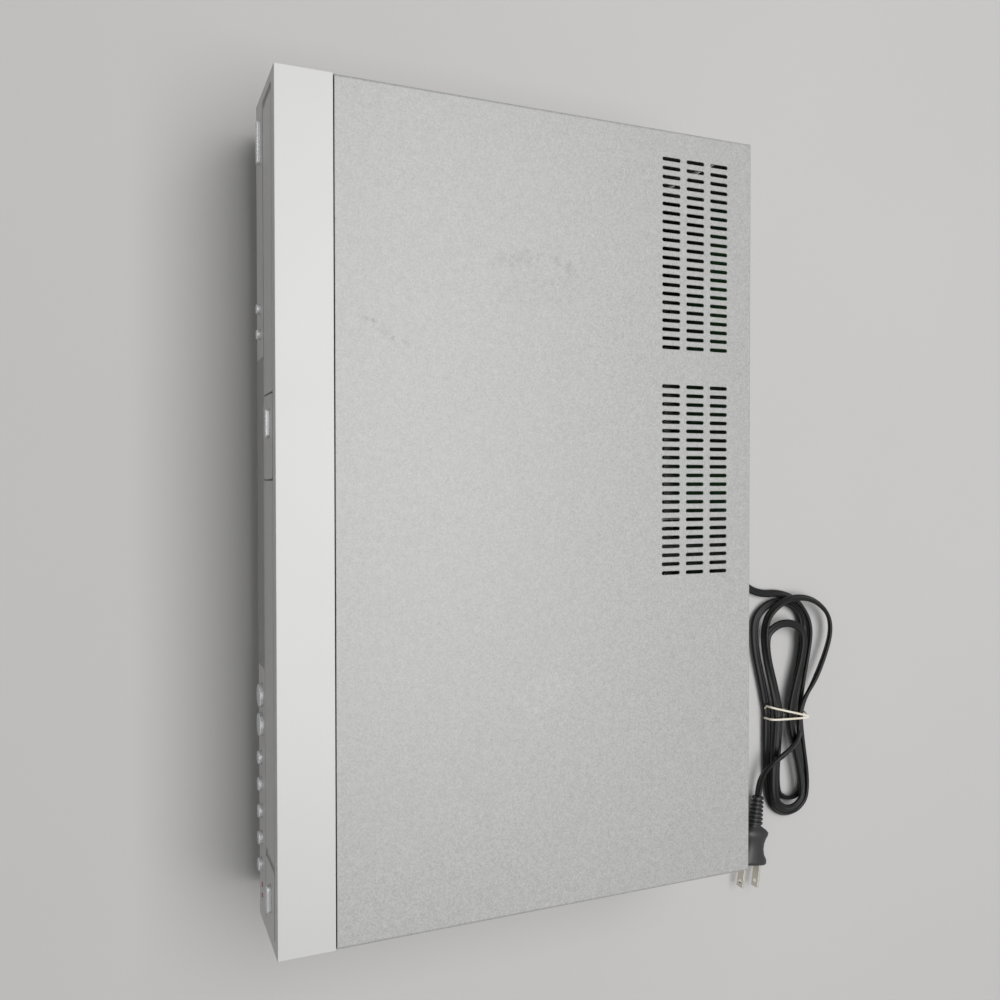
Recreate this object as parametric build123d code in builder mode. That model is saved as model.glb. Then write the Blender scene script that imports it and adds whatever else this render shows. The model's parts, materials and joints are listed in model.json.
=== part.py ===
"""A disc and cassette combination player, with its mains cord tied in a hank behind it.

Millimetres.  +X runs to the right of someone facing the front, +Y runs to the rear, +Z up.
The origin lies on the surface that the feet stand on, under the middle of the case.
"""

from build123d import *
from math import atan2, cos, degrees, hypot, pi, radians, sin, tan
import os

os.makedirs("parts", exist_ok=True)

# ----- the case -----
WIDTH = 430.0
HEIGHT = 96.0
REAL_WIDTH = 430.0
SPREAD = WIDTH / REAL_WIDTH  # carries places across the front along with the width
FOOT_HEIGHT = 8.0
FRONT_Y = -143.0  # face of the front panel
REAR_Y = 133.0  # outer face of the cover's rear flange
REAR_REACH = 145.0  # ends of the aerial sockets
COVER_SHEET = 0.8
PAN_SHEET = 1.0
PANEL_SHEET = 1.0
FLANGE_RISE = 15.0  # upturned sides of the base pan

# ----- the front panel -----
FASCIA_DEPTH = 28.3
FASCIA_WALL = 2.5
FASCIA_SEAM = 0.6  # dark line between front panel and cover
EDGE_ROUND = 1.6
CHIN_TOP = HEIGHT - 58.0
CHIN_SETBACK = 8.0
BAND_TOP = 8.0  # below the top edge
BAND_HEIGHT = 29.4
BAND_RECESS = 1.0
BAND_MARGIN = 5.0

# ----- fits -----
PANEL_GAP = 0.4  # around the tray front and the cassette door
BUTTON_GAP = 0.25
RUNNING_GAP = 0.05  # radial, between a shaft and its bore
SLIDE_GAP = 0.7
SEAT_GAP = 0.2

# ----- disc drive -----
TRAY_X = -133.0 * SPREAD
TRAY_FRONT_WIDTH = 146.0
TRAY_FRONT_TOP = 9.5
TRAY_FRONT_HEIGHT = 26.5
TRAY_FRONT_THICKNESS = 3.5
TRAY_WIDTH = 139.6
TRAY_LENGTH = 169.5
TRAY_THICKNESS = 6.0
TRAY_Z = HEIGHT - 28.0  # underside
DISC_DIAMETER = 120.0
SMALL_DISC_DIAMETER = 80.0
DISC_Y = -70.0
DISC_DEPTH = 2.0
SMALL_DISC_DEPTH = 1.2
TRAY_SLOT = 34.0
DRIVE_WALL = 2.5
DRIVE_FLOOR_Z = HEIGHT - 50.0
DRIVE_FLOOR = 2.0
DRIVE_TOP_Z = HEIGHT - 16.0
DRIVE_FRONT_Y = -127.0
DRIVE_REAR_Y = 54.5
GEAR_MODULE = 1.0
PINION_TEETH = 18
PINION_Y = -108.0
RACK_PITCH_X = TRAY_X - 57.0
PULLEY_DIAMETER = 30.0
MOTOR_PULLEY_DIAMETER = 7.0
BELT_THICKNESS = 1.2
BELT_HEIGHT = 2.4
LOADING_MOTOR_X = TRAY_X + 28.0
SLED_ROD_DIAMETER = 3.0
LENS_REST_RADIUS = 24.0

# ----- cassette deck -----
DECK_X = 77.5 * SPREAD
SLOT_WIDTH = 189.6
SLOT_TOP = 9.5
SLOT_HEIGHT = 27.3
DECK_PLATE_Z = 34.0
DECK_SHEET = 1.2
DECK_WIDTH = 195.0
DECK_FRONT_Y = -106.0
HOLDER_LENGTH = 72.0
HOLDER_SHEET = 0.8
CASSETTE_CLEAR = 25.8
HOLDER_IN = 58.0
HOLDER_DOWN = 21.0
SLIDER_DIAMETER = 4.0
REEL_SPREAD = 92.0
REEL_DIAMETER = 30.0
REEL_Y = -14.0
DRUM_DIAMETER = 62.0
DRUM_Y = 72.0
DRUM_TILT = 5.0
CAPSTAN_X = DECK_X + 60.5
CAPSTAN_Y = 46.0
CAPSTAN_DIAMETER = 4.0

# ----- boards -----
BOARD_Z = 13.0
BOARD_SHEET = 1.6
KEY_BOARD_Y = -131.0

# ----- mains cord -----
CORD_DIAMETER = 5.0
CORD_EXIT_X = 12.0
CORD_EXIT_Z = 30.0
HANK_X = 151.0  # the tied waist
HANK_Y = 235.0
HANK_Z = 3.9  # middle of the lower layer
HANK_LAYER = 5.6
BAND_THICKNESS = 1.0
BAND_WIDTH = 6.0
BAND_SIDE_GAP = 0.4
BAND_TOP_GAP = 0.3

COVER_INNER = WIDTH / 2 - COVER_SHEET
FASCIA_REAR_Y = FRONT_Y + FASCIA_DEPTH
COVER_FRONT_Y = FASCIA_REAR_Y + FASCIA_SEAM
FASCIA_INNER_Y = FRONT_Y + FASCIA_WALL
PANEL_FACE_Y = REAR_Y - COVER_SHEET  # outer face of the rear panel
PAN_TOP = FOOT_HEIGHT + PAN_SHEET
BOARD_TOP = BOARD_Z + BOARD_SHEET
TRAY_REST_Y = FRONT_Y + TRAY_FRONT_THICKNESS  # front end of the tray itself


def save(solid, name):
    """Label a finished piece and write it under that name."""
    solid.label = name
    export_step(solid, f"parts/{name}.step")


def below(drop):
    """Height above the surface of a point so far below the top edge."""
    return HEIGHT - drop


def slab(centre, size):
    """A box given by its centre in plan, its bottom height and its three sizes."""
    x, y, bottom = centre
    with BuildPart(Plane.XY.offset(bottom)) as block:
        with Locations((x, y)):
            Box(*size, align=(Align.CENTER, Align.CENTER, Align.MIN))
    return block.part


def span(low, high):
    """A box between two corners."""
    centre = ((low[0] + high[0]) / 2, (low[1] + high[1]) / 2, low[2])
    return slab(centre, tuple(top - bottom for bottom, top in zip(low, high)))


# ---------------------------------------------------------------- vents of the cover
VENT_LENGTH = 12.0
VENT_WIDTH = 2.1
VENT_ROWS = 22
VENT_COLUMNS = 3
VENT_ROW_PITCH = 5.05
VENT_COLUMN_PITCH = 16.1
VENT_MIDDLE = 237.6  # behind the front edge
VENT_ARRAYS = (-145.6 * SPREAD, -17.45 * SPREAD)
FLANGE_ENDS = ((-199.0, -82.0), (-63.5, -12.0), (8.5, 196.0))
FLANGES = [(SPREAD * left, SPREAD * right) for left, right in FLANGE_ENDS]
FLANGE_DROP = 14.0
COVER_BEND = 1.6
SCREW_SHANK = 2.9
SCREW_HOLE = 3.1
SCREW_HEAD = 7.0
SCREW_HEAD_HEIGHT = 1.3
SCREW_LENGTH = 6.0
SIDE_SCREW_Z = 16.0
SIDE_SCREWS = (-60.0, 90.0)
SCREW_RIM_ROUND = 0.5
HOLE_REACH = 8.0  # of the drilling through cover flange and rear panel
FLANGE_SCREWS = [SPREAD * x for x in (-140.0, -38.0, 100.0)]
FLANGE_SCREW_Z = HEIGHT - 8.0


def screw_holes():
    """The shanks' holes through cover, base pan and rear panel."""
    with BuildPart() as holes:
        for y in SIDE_SCREWS:
            with Locations(Plane.YZ):
                with Locations((y, SIDE_SCREW_Z)):
                    Cylinder(SCREW_HOLE / 2, WIDTH + 2)
        for x in FLANGE_SCREWS:
            with Locations(Plane.XZ.offset(-REAR_Y)):
                with Locations((x, FLANGE_SCREW_Z)):
                    Cylinder(SCREW_HOLE / 2, HOLE_REACH)
    return holes.part


with BuildPart() as top_cover:
    with BuildSketch(Plane.XZ.offset(-COVER_FRONT_Y)) as wrap:
        with Locations((0, (HEIGHT + FOOT_HEIGHT) / 2)):
            Rectangle(WIDTH, HEIGHT - FOOT_HEIGHT)
        top_corners = wrap.vertices().group_by(Axis.Y)[-1]
        fillet(top_corners, COVER_BEND)
        inner_height = HEIGHT - COVER_SHEET - FOOT_HEIGHT
        with BuildSketch(mode=Mode.PRIVATE) as hollow:
            with Locations((0, FOOT_HEIGHT + inner_height / 2)):
                Rectangle(WIDTH - 2 * COVER_SHEET, inner_height)
            fillet(hollow.vertices().group_by(Axis.Y)[-1], COVER_BEND - COVER_SHEET)
        add(hollow.sketch, mode=Mode.SUBTRACT)
    extrude(amount=-(REAR_Y - COVER_FRONT_Y))
    with BuildSketch(Plane.XZ.offset(-REAR_Y)):
        for start, end in FLANGES:
            with Locations(((start + end) / 2, HEIGHT - FLANGE_DROP / 2 - COVER_SHEET / 2)):
                Rectangle(end - start, FLANGE_DROP)
    extrude(amount=COVER_SHEET)
    with BuildSketch(Plane.XY.offset(HEIGHT)):
        for middle in VENT_ARRAYS:
            with Locations((middle, FRONT_Y + VENT_MIDDLE)):
                with GridLocations(VENT_ROW_PITCH, VENT_COLUMN_PITCH, VENT_ROWS, VENT_COLUMNS):
                    SlotOverall(VENT_LENGTH, VENT_WIDTH, rotation=90)
    extrude(amount=-COVER_SHEET, mode=Mode.SUBTRACT)
    add(screw_holes(), mode=Mode.SUBTRACT)
save(top_cover.part, "top_cover")

with BuildPart() as cover_screws:
    for side in (-1, 1):
        with Locations(Plane((side * WIDTH / 2, 0, 0), x_dir=(0, side, 0), z_dir=(side, 0, 0))):
            with Locations(*[(side * y, SIDE_SCREW_Z) for y in SIDE_SCREWS]):
                Cylinder(SCREW_HEAD / 2, SCREW_HEAD_HEIGHT, align=(Align.CENTER, Align.CENTER, Align.MIN))
                Cylinder(SCREW_SHANK / 2, SCREW_LENGTH, align=(Align.CENTER, Align.CENTER, Align.MAX))
    with Locations(Plane((0, REAR_Y, 0), x_dir=(-1, 0, 0), z_dir=(0, 1, 0))):
        with Locations(*[(-x, FLANGE_SCREW_Z) for x in FLANGE_SCREWS]):
            Cylinder(SCREW_HEAD / 2, SCREW_HEAD_HEIGHT, align=(Align.CENTER, Align.CENTER, Align.MIN))
            Cylinder(SCREW_SHANK / 2, SCREW_LENGTH, align=(Align.CENTER, Align.CENTER, Align.MAX))
    heads = cover_screws.edges().filter_by(GeomType.CIRCLE)
    fillet([rim for rim in heads if abs(rim.radius - SCREW_HEAD / 2) < 0.01][0::2], SCREW_RIM_ROUND)
save(cover_screws.part, "cover_screws")

# ---------------------------------------------------------------- base pan and feet
PAN_FRONT_Y = FRONT_Y + 13.0
FOOT_X = WIDTH / 2 - 30.0
FOOT_Y = 105.0
FOOT_DIAMETER = 22.0
FOOT_TAPER = 1.5
PAN_TONGUE_GAP = 4.0
PAN_SIDE_MIDDLE = 9.0
PAN_SIDE_LENGTH = 236.0
LOUVRE_GROUPS = ((-150.0 * SPREAD, 20.0), (-20.0 * SPREAD, 20.0), (110.0 * SPREAD, 0.0))
LOUVRE_LENGTH = 26.0
LOUVRE_WIDTH = 3.0
LOUVRE_PITCH = 9.0
LOUVRE_COUNT = 9
BOSS_DIAMETER = 6.0
BOSS_INSET = 6.0
DVD_BOARD = ((-206.0, 62.0), (-96.0, 126.0))
POWER_BOARD = ((-90.0, 58.0), (24.0, 126.0))
MAIN_BOARD = ((40.0, 40.0), (208.0, 126.0))
BOARDS = (DVD_BOARD, POWER_BOARD, MAIN_BOARD)


def board_corners(board):
    """Places of a board's four bosses."""
    (x0, y0), (x1, y1) = board
    across = (x0 + BOSS_INSET, x1 - BOSS_INSET)
    along = (y0 + BOSS_INSET, y1 - BOSS_INSET)
    return [(x, y) for x in across for y in along]


with BuildPart() as base_pan:
    add(span((-COVER_INNER, COVER_FRONT_Y, FOOT_HEIGHT), (COVER_INNER, PANEL_FACE_Y, PAN_TOP)))
    tongue = COVER_INNER - FASCIA_WALL - PAN_TONGUE_GAP
    add(span((-tongue, PAN_FRONT_Y, FOOT_HEIGHT), (tongue, COVER_FRONT_Y, PAN_TOP)))
    for side in (-1, 1):
        flange_x = side * (COVER_INNER - PAN_SHEET / 2)
        add(slab((flange_x, PAN_SIDE_MIDDLE, PAN_TOP), (PAN_SHEET, PAN_SIDE_LENGTH, FLANGE_RISE)))
    with BuildSketch(Plane.XY.offset(PAN_TOP)):
        for board in BOARDS:
            with Locations(*board_corners(board)):
                Circle(BOSS_DIAMETER / 2)
    extrude(amount=BOARD_Z - PAN_TOP)
    with BuildSketch(Plane.XY.offset(PAN_TOP)):
        with Locations(*LOUVRE_GROUPS):
            with GridLocations(LOUVRE_PITCH, 0, LOUVRE_COUNT, 1):
                SlotOverall(LOUVRE_LENGTH, LOUVRE_WIDTH, rotation=90)
    extrude(amount=-PAN_SHEET, mode=Mode.SUBTRACT)
    add(screw_holes(), mode=Mode.SUBTRACT)
save(base_pan.part, "base_pan")

with BuildPart() as feet:
    with Locations((-FOOT_X, -FOOT_Y), (FOOT_X, -FOOT_Y), (-FOOT_X, FOOT_Y), (FOOT_X, FOOT_Y)):
        foot_radius = FOOT_DIAMETER / 2
        Cone(foot_radius - FOOT_TAPER, foot_radius, FOOT_HEIGHT, align=(Align.CENTER, Align.CENTER, Align.MIN))
save(feet.part, "feet")

# ---------------------------------------------------------------- front panel
TRAY_RIGHT = TRAY_X + TRAY_FRONT_WIDTH / 2
BAR_BUTTONS = {  # x, height below the top edge, width, height
    "power_button": (-192.2 * SPREAD, 45.4, 22.0, 4.0),
    "open_button": (TRAY_RIGHT + 14.7, 20.5, 14.0, 5.0),
    "eject_button": (WIDTH / 2 - 21.9, 22.0, 13.4, 5.0),
}
ROUND_BUTTONS = {  # x, drop below the top edge, diameter
    "left_button_1": (-106.6 * SPREAD, 48.0, 5.0),
    "left_button_2": (-93.4 * SPREAD, 48.0, 5.0),
    "large_button_1": (95.7 * SPREAD, 47.0, 12.0),
    "large_button_2": (111.1 * SPREAD, 47.0, 12.0),
    "deck_button_1": (129.2 * SPREAD, 50.0, 7.0),
    "deck_button_2": (143.4 * SPREAD, 50.0, 7.0),
    "deck_button_3": (157.6 * SPREAD, 50.0, 7.0),
    "deck_button_4": (171.8 * SPREAD, 50.0, 7.0),
    "deck_button_5": (186.0 * SPREAD, 50.0, 7.0),
}
LIGHTS = ((196.8 * SPREAD, 49.0), (202.4 * SPREAD, 49.0))
LIGHT_DIAMETER = 2.6
BUTTON_PROUD = 2.0
BUTTON_FLANGE = 1.2
BUTTON_RIM = 1.4
CENTRE_PAD = (TRAY_RIGHT + 0.5, DECK_X - SLOT_WIDTH / 2 - 0.3)
END_PAD = (DECK_X + SLOT_WIDTH / 2 + 3.7, WIDTH / 2 - 4.0)
PAD_TOP = 10.0
PAD_HEIGHT = 26.0
WINDOW_WIDTH = 161.0
WINDOW_TOP = 38.0
WINDOW_HEIGHT = 19.5
WINDOW_THICKNESS = 1.5
WINDOW_LEDGE = 2.5
PIVOT_DROP = 7.5
PIVOT_Y = FRONT_Y + 4.5
PIVOT_PIN = 3.0
EAR_THICKNESS = 2.0
EAR_DEPTH = 6.5
EAR_HEIGHT = 9.0
EAR_GAP = 0.4  # beside the cassette door
BAND_CORNER = 3.0
PAD_CORNER = 2.0
BUTTON_ROUND = 0.5
BOARD_POSTS = [SPREAD * x for x in (-150.0, -86.0, 121.0, 208.6)]
POST_DIAMETER = 4.0
POST_DROP = 48.0
SLOT_LEFT = DECK_X - SLOT_WIDTH / 2
SLOT_RIGHT = DECK_X + SLOT_WIDTH / 2


def face_plane(depth=0.0):
    """A plane so far behind the front face, seen from the front, with +Z up on it."""
    return Plane((0, FRONT_Y + depth, 0), x_dir=(1, 0, 0), z_dir=(0, -1, 0))


def bar_outline(x, drop, long_side, short_side, gap=0.0):
    """A bar button's outline, or with a gap its hole's."""
    with Locations((x, below(drop))):
        RectangleRounded(long_side + 2 * gap, short_side + 2 * gap, short_side * 0.3)


def round_outline(x, drop, diameter, gap=0.0):
    """A round button's outline, or with a gap its hole's."""
    with Locations((x, below(drop))):
        Circle(diameter / 2 + gap)


with BuildPart() as front_panel:
    chin_foot = FRONT_Y + CHIN_SETBACK
    with BuildSketch(Plane.YZ.offset(-WIDTH / 2)) as side_view:
        with BuildLine():
            Polyline(
                (FASCIA_REAR_Y, HEIGHT),
                (FRONT_Y, HEIGHT),
                (FRONT_Y, CHIN_TOP),
                (chin_foot, PAN_TOP),
                (FASCIA_REAR_Y, PAN_TOP),
                close=True,
            )
        make_face()
        fillet(side_view.vertices().sort_by(Axis.Y)[:2].sort_by(Axis.Y), EDGE_ROUND)
    extrude(amount=WIDTH)
    with BuildSketch(Plane.YZ.offset(-WIDTH / 2 + FASCIA_WALL)) as inside:
        with BuildLine():
            Polyline(
                (FASCIA_REAR_Y, HEIGHT - FASCIA_WALL),
                (FASCIA_INNER_Y, HEIGHT - FASCIA_WALL),
                (FASCIA_INNER_Y, CHIN_TOP),
                (chin_foot + FASCIA_WALL, PAN_TOP + FASCIA_WALL),
                (FASCIA_REAR_Y, PAN_TOP + FASCIA_WALL),
                close=True,
            )
        make_face()
    extrude(amount=WIDTH - 2 * FASCIA_WALL, mode=Mode.SUBTRACT)
    with BuildSketch(face_plane()):
        with Locations((0, below(BAND_TOP + BAND_HEIGHT / 2))):
            RectangleRounded(WIDTH - 2 * BAND_MARGIN, BAND_HEIGHT, BAND_CORNER)
        pad_middle = below(PAD_TOP + PAD_HEIGHT / 2)
        for left, right in (CENTRE_PAD, END_PAD):
            with Locations(((left + right) / 2, pad_middle)):
                RectangleRounded(right - left, PAD_HEIGHT, PAD_CORNER, mode=Mode.SUBTRACT)
    extrude(amount=-BAND_RECESS, mode=Mode.SUBTRACT)
    with BuildSketch(face_plane()):
        with Locations((TRAY_X, below(TRAY_FRONT_TOP + TRAY_FRONT_HEIGHT / 2))):
            Rectangle(TRAY_FRONT_WIDTH, TRAY_FRONT_HEIGHT)
        with Locations((DECK_X, below(SLOT_TOP + SLOT_HEIGHT / 2))):
            Rectangle(SLOT_WIDTH, SLOT_HEIGHT)
        with Locations((0, below(WINDOW_TOP + WINDOW_HEIGHT / 2))):
            Rectangle(WINDOW_WIDTH - 2 * WINDOW_LEDGE, WINDOW_HEIGHT - 2 * WINDOW_LEDGE)
        for button in BAR_BUTTONS.values():
            bar_outline(*button, gap=BUTTON_GAP)
        for button in ROUND_BUTTONS.values():
            round_outline(*button, gap=BUTTON_GAP)
        for x, drop in LIGHTS:
            round_outline(x, drop, LIGHT_DIAMETER)
    extrude(amount=-FASCIA_WALL, mode=Mode.SUBTRACT)
    with BuildSketch(face_plane()):
        with Locations((0, below(WINDOW_TOP + WINDOW_HEIGHT / 2))):
            Rectangle(WINDOW_WIDTH, WINDOW_HEIGHT)
    extrude(amount=-WINDOW_THICKNESS, mode=Mode.SUBTRACT)
    with BuildSketch(face_plane(FASCIA_WALL)):
        with Locations(*[(x, below(POST_DROP)) for x in BOARD_POSTS]):
            Circle(POST_DIAMETER / 2)
    extrude(amount=-(KEY_BOARD_Y - FASCIA_INNER_Y))
    ear_offset = EAR_GAP + EAR_THICKNESS / 2
    for ear_x in (SLOT_LEFT - ear_offset, SLOT_RIGHT + ear_offset):
        with BuildSketch(Plane.YZ.offset(ear_x - EAR_THICKNESS / 2)):
            with Locations((FASCIA_INNER_Y + EAR_DEPTH / 2, below(PIVOT_DROP))):
                Rectangle(EAR_DEPTH, EAR_HEIGHT)
            with Locations((PIVOT_Y, below(PIVOT_DROP))):
                Circle(PIVOT_PIN / 2 + RUNNING_GAP, mode=Mode.SUBTRACT)
        extrude(amount=EAR_THICKNESS)
save(front_panel.part, "front_panel")

with BuildPart() as display_window:
    with BuildSketch(face_plane()):
        with Locations((0, below(WINDOW_TOP + WINDOW_HEIGHT / 2))):
            Rectangle(WINDOW_WIDTH, WINDOW_HEIGHT)
    extrude(amount=-WINDOW_THICKNESS)
save(display_window.part, "display_window")

# ---------------------------------------------------------------- push buttons
SWITCH_TRAVEL = 0.8
STEM_DIAMETER = 2.4
SWITCH_HEIGHT = 4.0
SWITCH_FACE_Y = KEY_BOARD_Y - SWITCH_HEIGHT
SWITCH_CLEARANCE = 0.3


def push_button(outline, sizes):
    """A cap that stands proud, a flange behind the wall and a stem that ends at its switch."""
    with BuildPart() as button:
        with BuildSketch(face_plane(-BUTTON_PROUD)):
            outline(*sizes)
        extrude(amount=-(BUTTON_PROUD + FASCIA_WALL + SEAT_GAP))
        crown = button.faces().sort_by(Axis.Y)[0]
        fillet(crown.edges(), BUTTON_ROUND)
        with BuildSketch(face_plane(FASCIA_WALL + SEAT_GAP)):
            outline(*sizes, gap=BUTTON_RIM)
        extrude(amount=-BUTTON_FLANGE)
        with BuildSketch(face_plane(FASCIA_WALL + SEAT_GAP + BUTTON_FLANGE)):
            with Locations((sizes[0], below(sizes[1]))):
                Circle(STEM_DIAMETER / 2)
        stem_start = FASCIA_INNER_Y + SEAT_GAP + BUTTON_FLANGE
        extrude(amount=-(SWITCH_FACE_Y - SWITCH_TRAVEL - SWITCH_CLEARANCE - stem_start))
    return button.part


for name, sizes in BAR_BUTTONS.items():
    save(push_button(bar_outline, sizes), name)
for name, sizes in ROUND_BUTTONS.items():
    save(push_button(round_outline, sizes), name)

# ---------------------------------------------------------------- boards behind the front
SWITCH_SIZE = 6.0
KEY_BOARD_BOTTOM = below(56.5)
KEY_BOARD_TOP = below(38.0)
KEY_TABS = ((CENTRE_PAD[0] + 3.5, CENTRE_PAD[1] - 6.4), (END_PAD[0] + 2.0, END_PAD[1] - 3.0))
KEY_TAB_TOP = below(12.0)
DISPLAY_WIDTH = 120.0
DISPLAY_HEIGHT = 14.0
DISPLAY_GAP = 1.2  # behind the window
DISPLAY_FRONT_Y = FRONT_Y + WINDOW_THICKNESS + DISPLAY_GAP
KEY_BOARD_MARGIN = 5.0
LIGHT_PROUD = 0.3

with BuildPart() as key_board:
    with BuildSketch(face_plane(KEY_BOARD_Y - FRONT_Y)):
        with Locations((0, (KEY_BOARD_BOTTOM + KEY_BOARD_TOP) / 2)):
            Rectangle(WIDTH - 2 * KEY_BOARD_MARGIN, KEY_BOARD_TOP - KEY_BOARD_BOTTOM)
        for left, right in KEY_TABS:
            with Locations(((left + right) / 2, (KEY_TAB_TOP + KEY_BOARD_BOTTOM) / 2)):
                Rectangle(right - left, KEY_TAB_TOP - KEY_BOARD_BOTTOM)
    extrude(amount=-BOARD_SHEET)
    switches = [sizes[:2] for sizes in (*BAR_BUTTONS.values(), *ROUND_BUTTONS.values())]
    with BuildSketch(face_plane(KEY_BOARD_Y - FRONT_Y)):
        with Locations(*[(x, below(drop)) for x, drop in switches]):
            Rectangle(SWITCH_SIZE, SWITCH_SIZE)
    extrude(amount=KEY_BOARD_Y - SWITCH_FACE_Y)
    with BuildSketch(face_plane(KEY_BOARD_Y - FRONT_Y)):
        for x, drop in LIGHTS:
            round_outline(x, drop, LIGHT_DIAMETER - 2 * RUNNING_GAP)
    extrude(amount=KEY_BOARD_Y - FRONT_Y + LIGHT_PROUD)
    with BuildSketch(face_plane(KEY_BOARD_Y - FRONT_Y)):
        with Locations((0, below(WINDOW_TOP + WINDOW_HEIGHT / 2))):
            Rectangle(DISPLAY_WIDTH, DISPLAY_HEIGHT)
    extrude(amount=KEY_BOARD_Y - DISPLAY_FRONT_Y)
save(key_board.part, "key_board")

# ---------------------------------------------------------------- disc tray
RACK_HEIGHT = 6.5
RACK_WIDTH = 6.0
RACK_END_Y = 29.0
TOOTH_DEPTH = 1.0  # each side of the pitch line, in modules
TOOTH_SHARE = 0.42  # of the pitch, at the pitch line
TOOTH_SLOPE = tan(radians(20))
TIP_RELIEF = 0.1
RACK_ROOT_SINK = 0.3
GEAR_ROOT_SINK = 0.5
ROOT_GAP = 0.2  # between a tip and the root across from it
RACK_LEAD = 14.0  # of the rack in front of the pinion's axis
RACK_LEAD_TEETH = 3
DISC_CLEARANCE = 0.5
TRAY_FRONT_ROUND = 0.6
GEAR_PITCH = pi * GEAR_MODULE
PINION_RADIUS = GEAR_MODULE * PINION_TEETH / 2
PINION_X = RACK_PITCH_X + PINION_RADIUS


def tooth_outline(root, tip):
    """A straight-sided tooth along +X, its root and tip measured from the pitch line."""
    half = TOOTH_SHARE * GEAR_PITCH / 2
    with BuildSketch() as tooth:
        with BuildLine():
            Polyline(
                (root, -half + root * TOOTH_SLOPE),
                (tip, -half + tip * TOOTH_SLOPE),
                (tip, half - tip * TOOTH_SLOPE),
                (root, half - root * TOOTH_SLOPE),
                close=True,
            )
        make_face()
    return tooth.sketch


with BuildPart() as tray_front:
    with BuildSketch(face_plane()) as bezel:
        with Locations((TRAY_X, below(TRAY_FRONT_TOP + TRAY_FRONT_HEIGHT / 2))):
            Rectangle(TRAY_FRONT_WIDTH - 2 * PANEL_GAP, TRAY_FRONT_HEIGHT - 2 * PANEL_GAP)
    extrude(amount=-TRAY_FRONT_THICKNESS)
    fillet(tray_front.faces().sort_by(Axis.Y)[0].edges(), TRAY_FRONT_ROUND)
save(tray_front.part, "tray_front")

rack_tooth = tooth_outline(-TOOTH_DEPTH - RACK_ROOT_SINK, TOOTH_DEPTH - TIP_RELIEF)
with BuildPart() as disc_tray:
    tray_top = TRAY_Z + TRAY_THICKNESS
    tray_middle_y = TRAY_REST_Y + TRAY_LENGTH / 2
    with BuildSketch(Plane.XY.offset(TRAY_Z)):
        with Locations((TRAY_X, tray_middle_y)):
            Rectangle(TRAY_WIDTH, TRAY_LENGTH)
    extrude(amount=TRAY_THICKNESS)
    with BuildSketch(Plane.XY.offset(tray_top)):
        with Locations((TRAY_X, DISC_Y)):
            Circle(DISC_DIAMETER / 2 + DISC_CLEARANCE)
    extrude(amount=-DISC_DEPTH, mode=Mode.SUBTRACT)
    with BuildSketch(Plane.XY.offset(tray_top - DISC_DEPTH)):
        with Locations((TRAY_X, DISC_Y)):
            Circle(SMALL_DISC_DIAMETER / 2 + DISC_CLEARANCE)
    extrude(amount=-SMALL_DISC_DEPTH, mode=Mode.SUBTRACT)
    with BuildSketch(Plane.XY.offset(TRAY_Z)):
        with Locations((TRAY_X, DISC_Y)):
            Circle(TRAY_SLOT / 2)
        slot_end = TRAY_REST_Y + TRAY_LENGTH
        with Locations((TRAY_X, (DISC_Y + slot_end) / 2)):
            Rectangle(TRAY_SLOT, slot_end - DISC_Y)
    extrude(amount=TRAY_THICKNESS, mode=Mode.SUBTRACT)
    rack_root_x = RACK_PITCH_X - TOOTH_DEPTH * GEAR_MODULE - ROOT_GAP
    rack_low = (rack_root_x - RACK_WIDTH, PINION_Y - RACK_LEAD, TRAY_Z - RACK_HEIGHT)
    add(span(rack_low, (rack_root_x, RACK_END_Y, TRAY_Z)))
    rack_teeth = int((RACK_END_Y - PINION_Y - 2) / GEAR_PITCH)
    with BuildSketch(Plane.XY.offset(TRAY_Z - RACK_HEIGHT)):
        rack_steps = range(-RACK_LEAD_TEETH, rack_teeth)
        with Locations(*[(RACK_PITCH_X, PINION_Y + index * GEAR_PITCH) for index in rack_steps]):
            add(rack_tooth)
    extrude(amount=RACK_HEIGHT)
save(disc_tray.part, "disc_tray")

# ---------------------------------------------------------------- disc drive frame
TRAVERSE_WIDTH = 70.0
TRAVERSE_FRONT_Y = -90.0
TRAVERSE_REAR_Y = 18.0
TRAVERSE_Z = HEIGHT - 46.0
TRAVERSE_SHEET = 3.0
TRAVERSE_PIN = 4.0
TRAVERSE_PIVOT_Y = 14.0
TRAVERSE_PIVOT_Z = HEIGHT - 43.0
TRAVERSE_EAR = 3.7
TRAVERSE_EAR_HEIGHT = 12.0
GEAR_PIN = 4.0
PULLEY_Z = HEIGHT - 47.0
PULLEY_HEIGHT = 6.0
PINION_Z = HEIGHT - 35.5
PINION_HEIGHT = 7.0
LEG_DIAMETER = 8.0
LEG_INSET = 5.5
BRIDGE_SHEET = 1.2
BRIDGE_WIDTH = 34.0
CLAMP_NECK = 20.0
CLAMP_FLANGE = 30.0
CLAMP_FLANGE_HEIGHT = 2.0
CLAMP_DROP = 4.5
CLAMP_GAP = 0.1
BRIDGE_BORE = 23.0
WINDOW_SIDE_GAP = 1.0  # round the traverse
WINDOW_FRONT_GAP = 4.0
WINDOW_REAR_GAP = 3.0
LEDGE_WIDTH = 4.0
LEDGE_SHEET = 3.0
LEDGE_GAP = 0.1
KEEPER_SIZE = (3.0, 14.0, 3.0)
KEEPER_GAP = 0.2
KEEPER_PLACES = (DRIVE_FRONT_Y + 10.0, -20.0, 22.0)
SHAFT_HOLE_RADIUS = 4.0
PIVOT_GAP = 0.4
PIVOT_EAR_DEPTH = 10.0
PIVOT_EAR_SHIFT = 2.0

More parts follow.
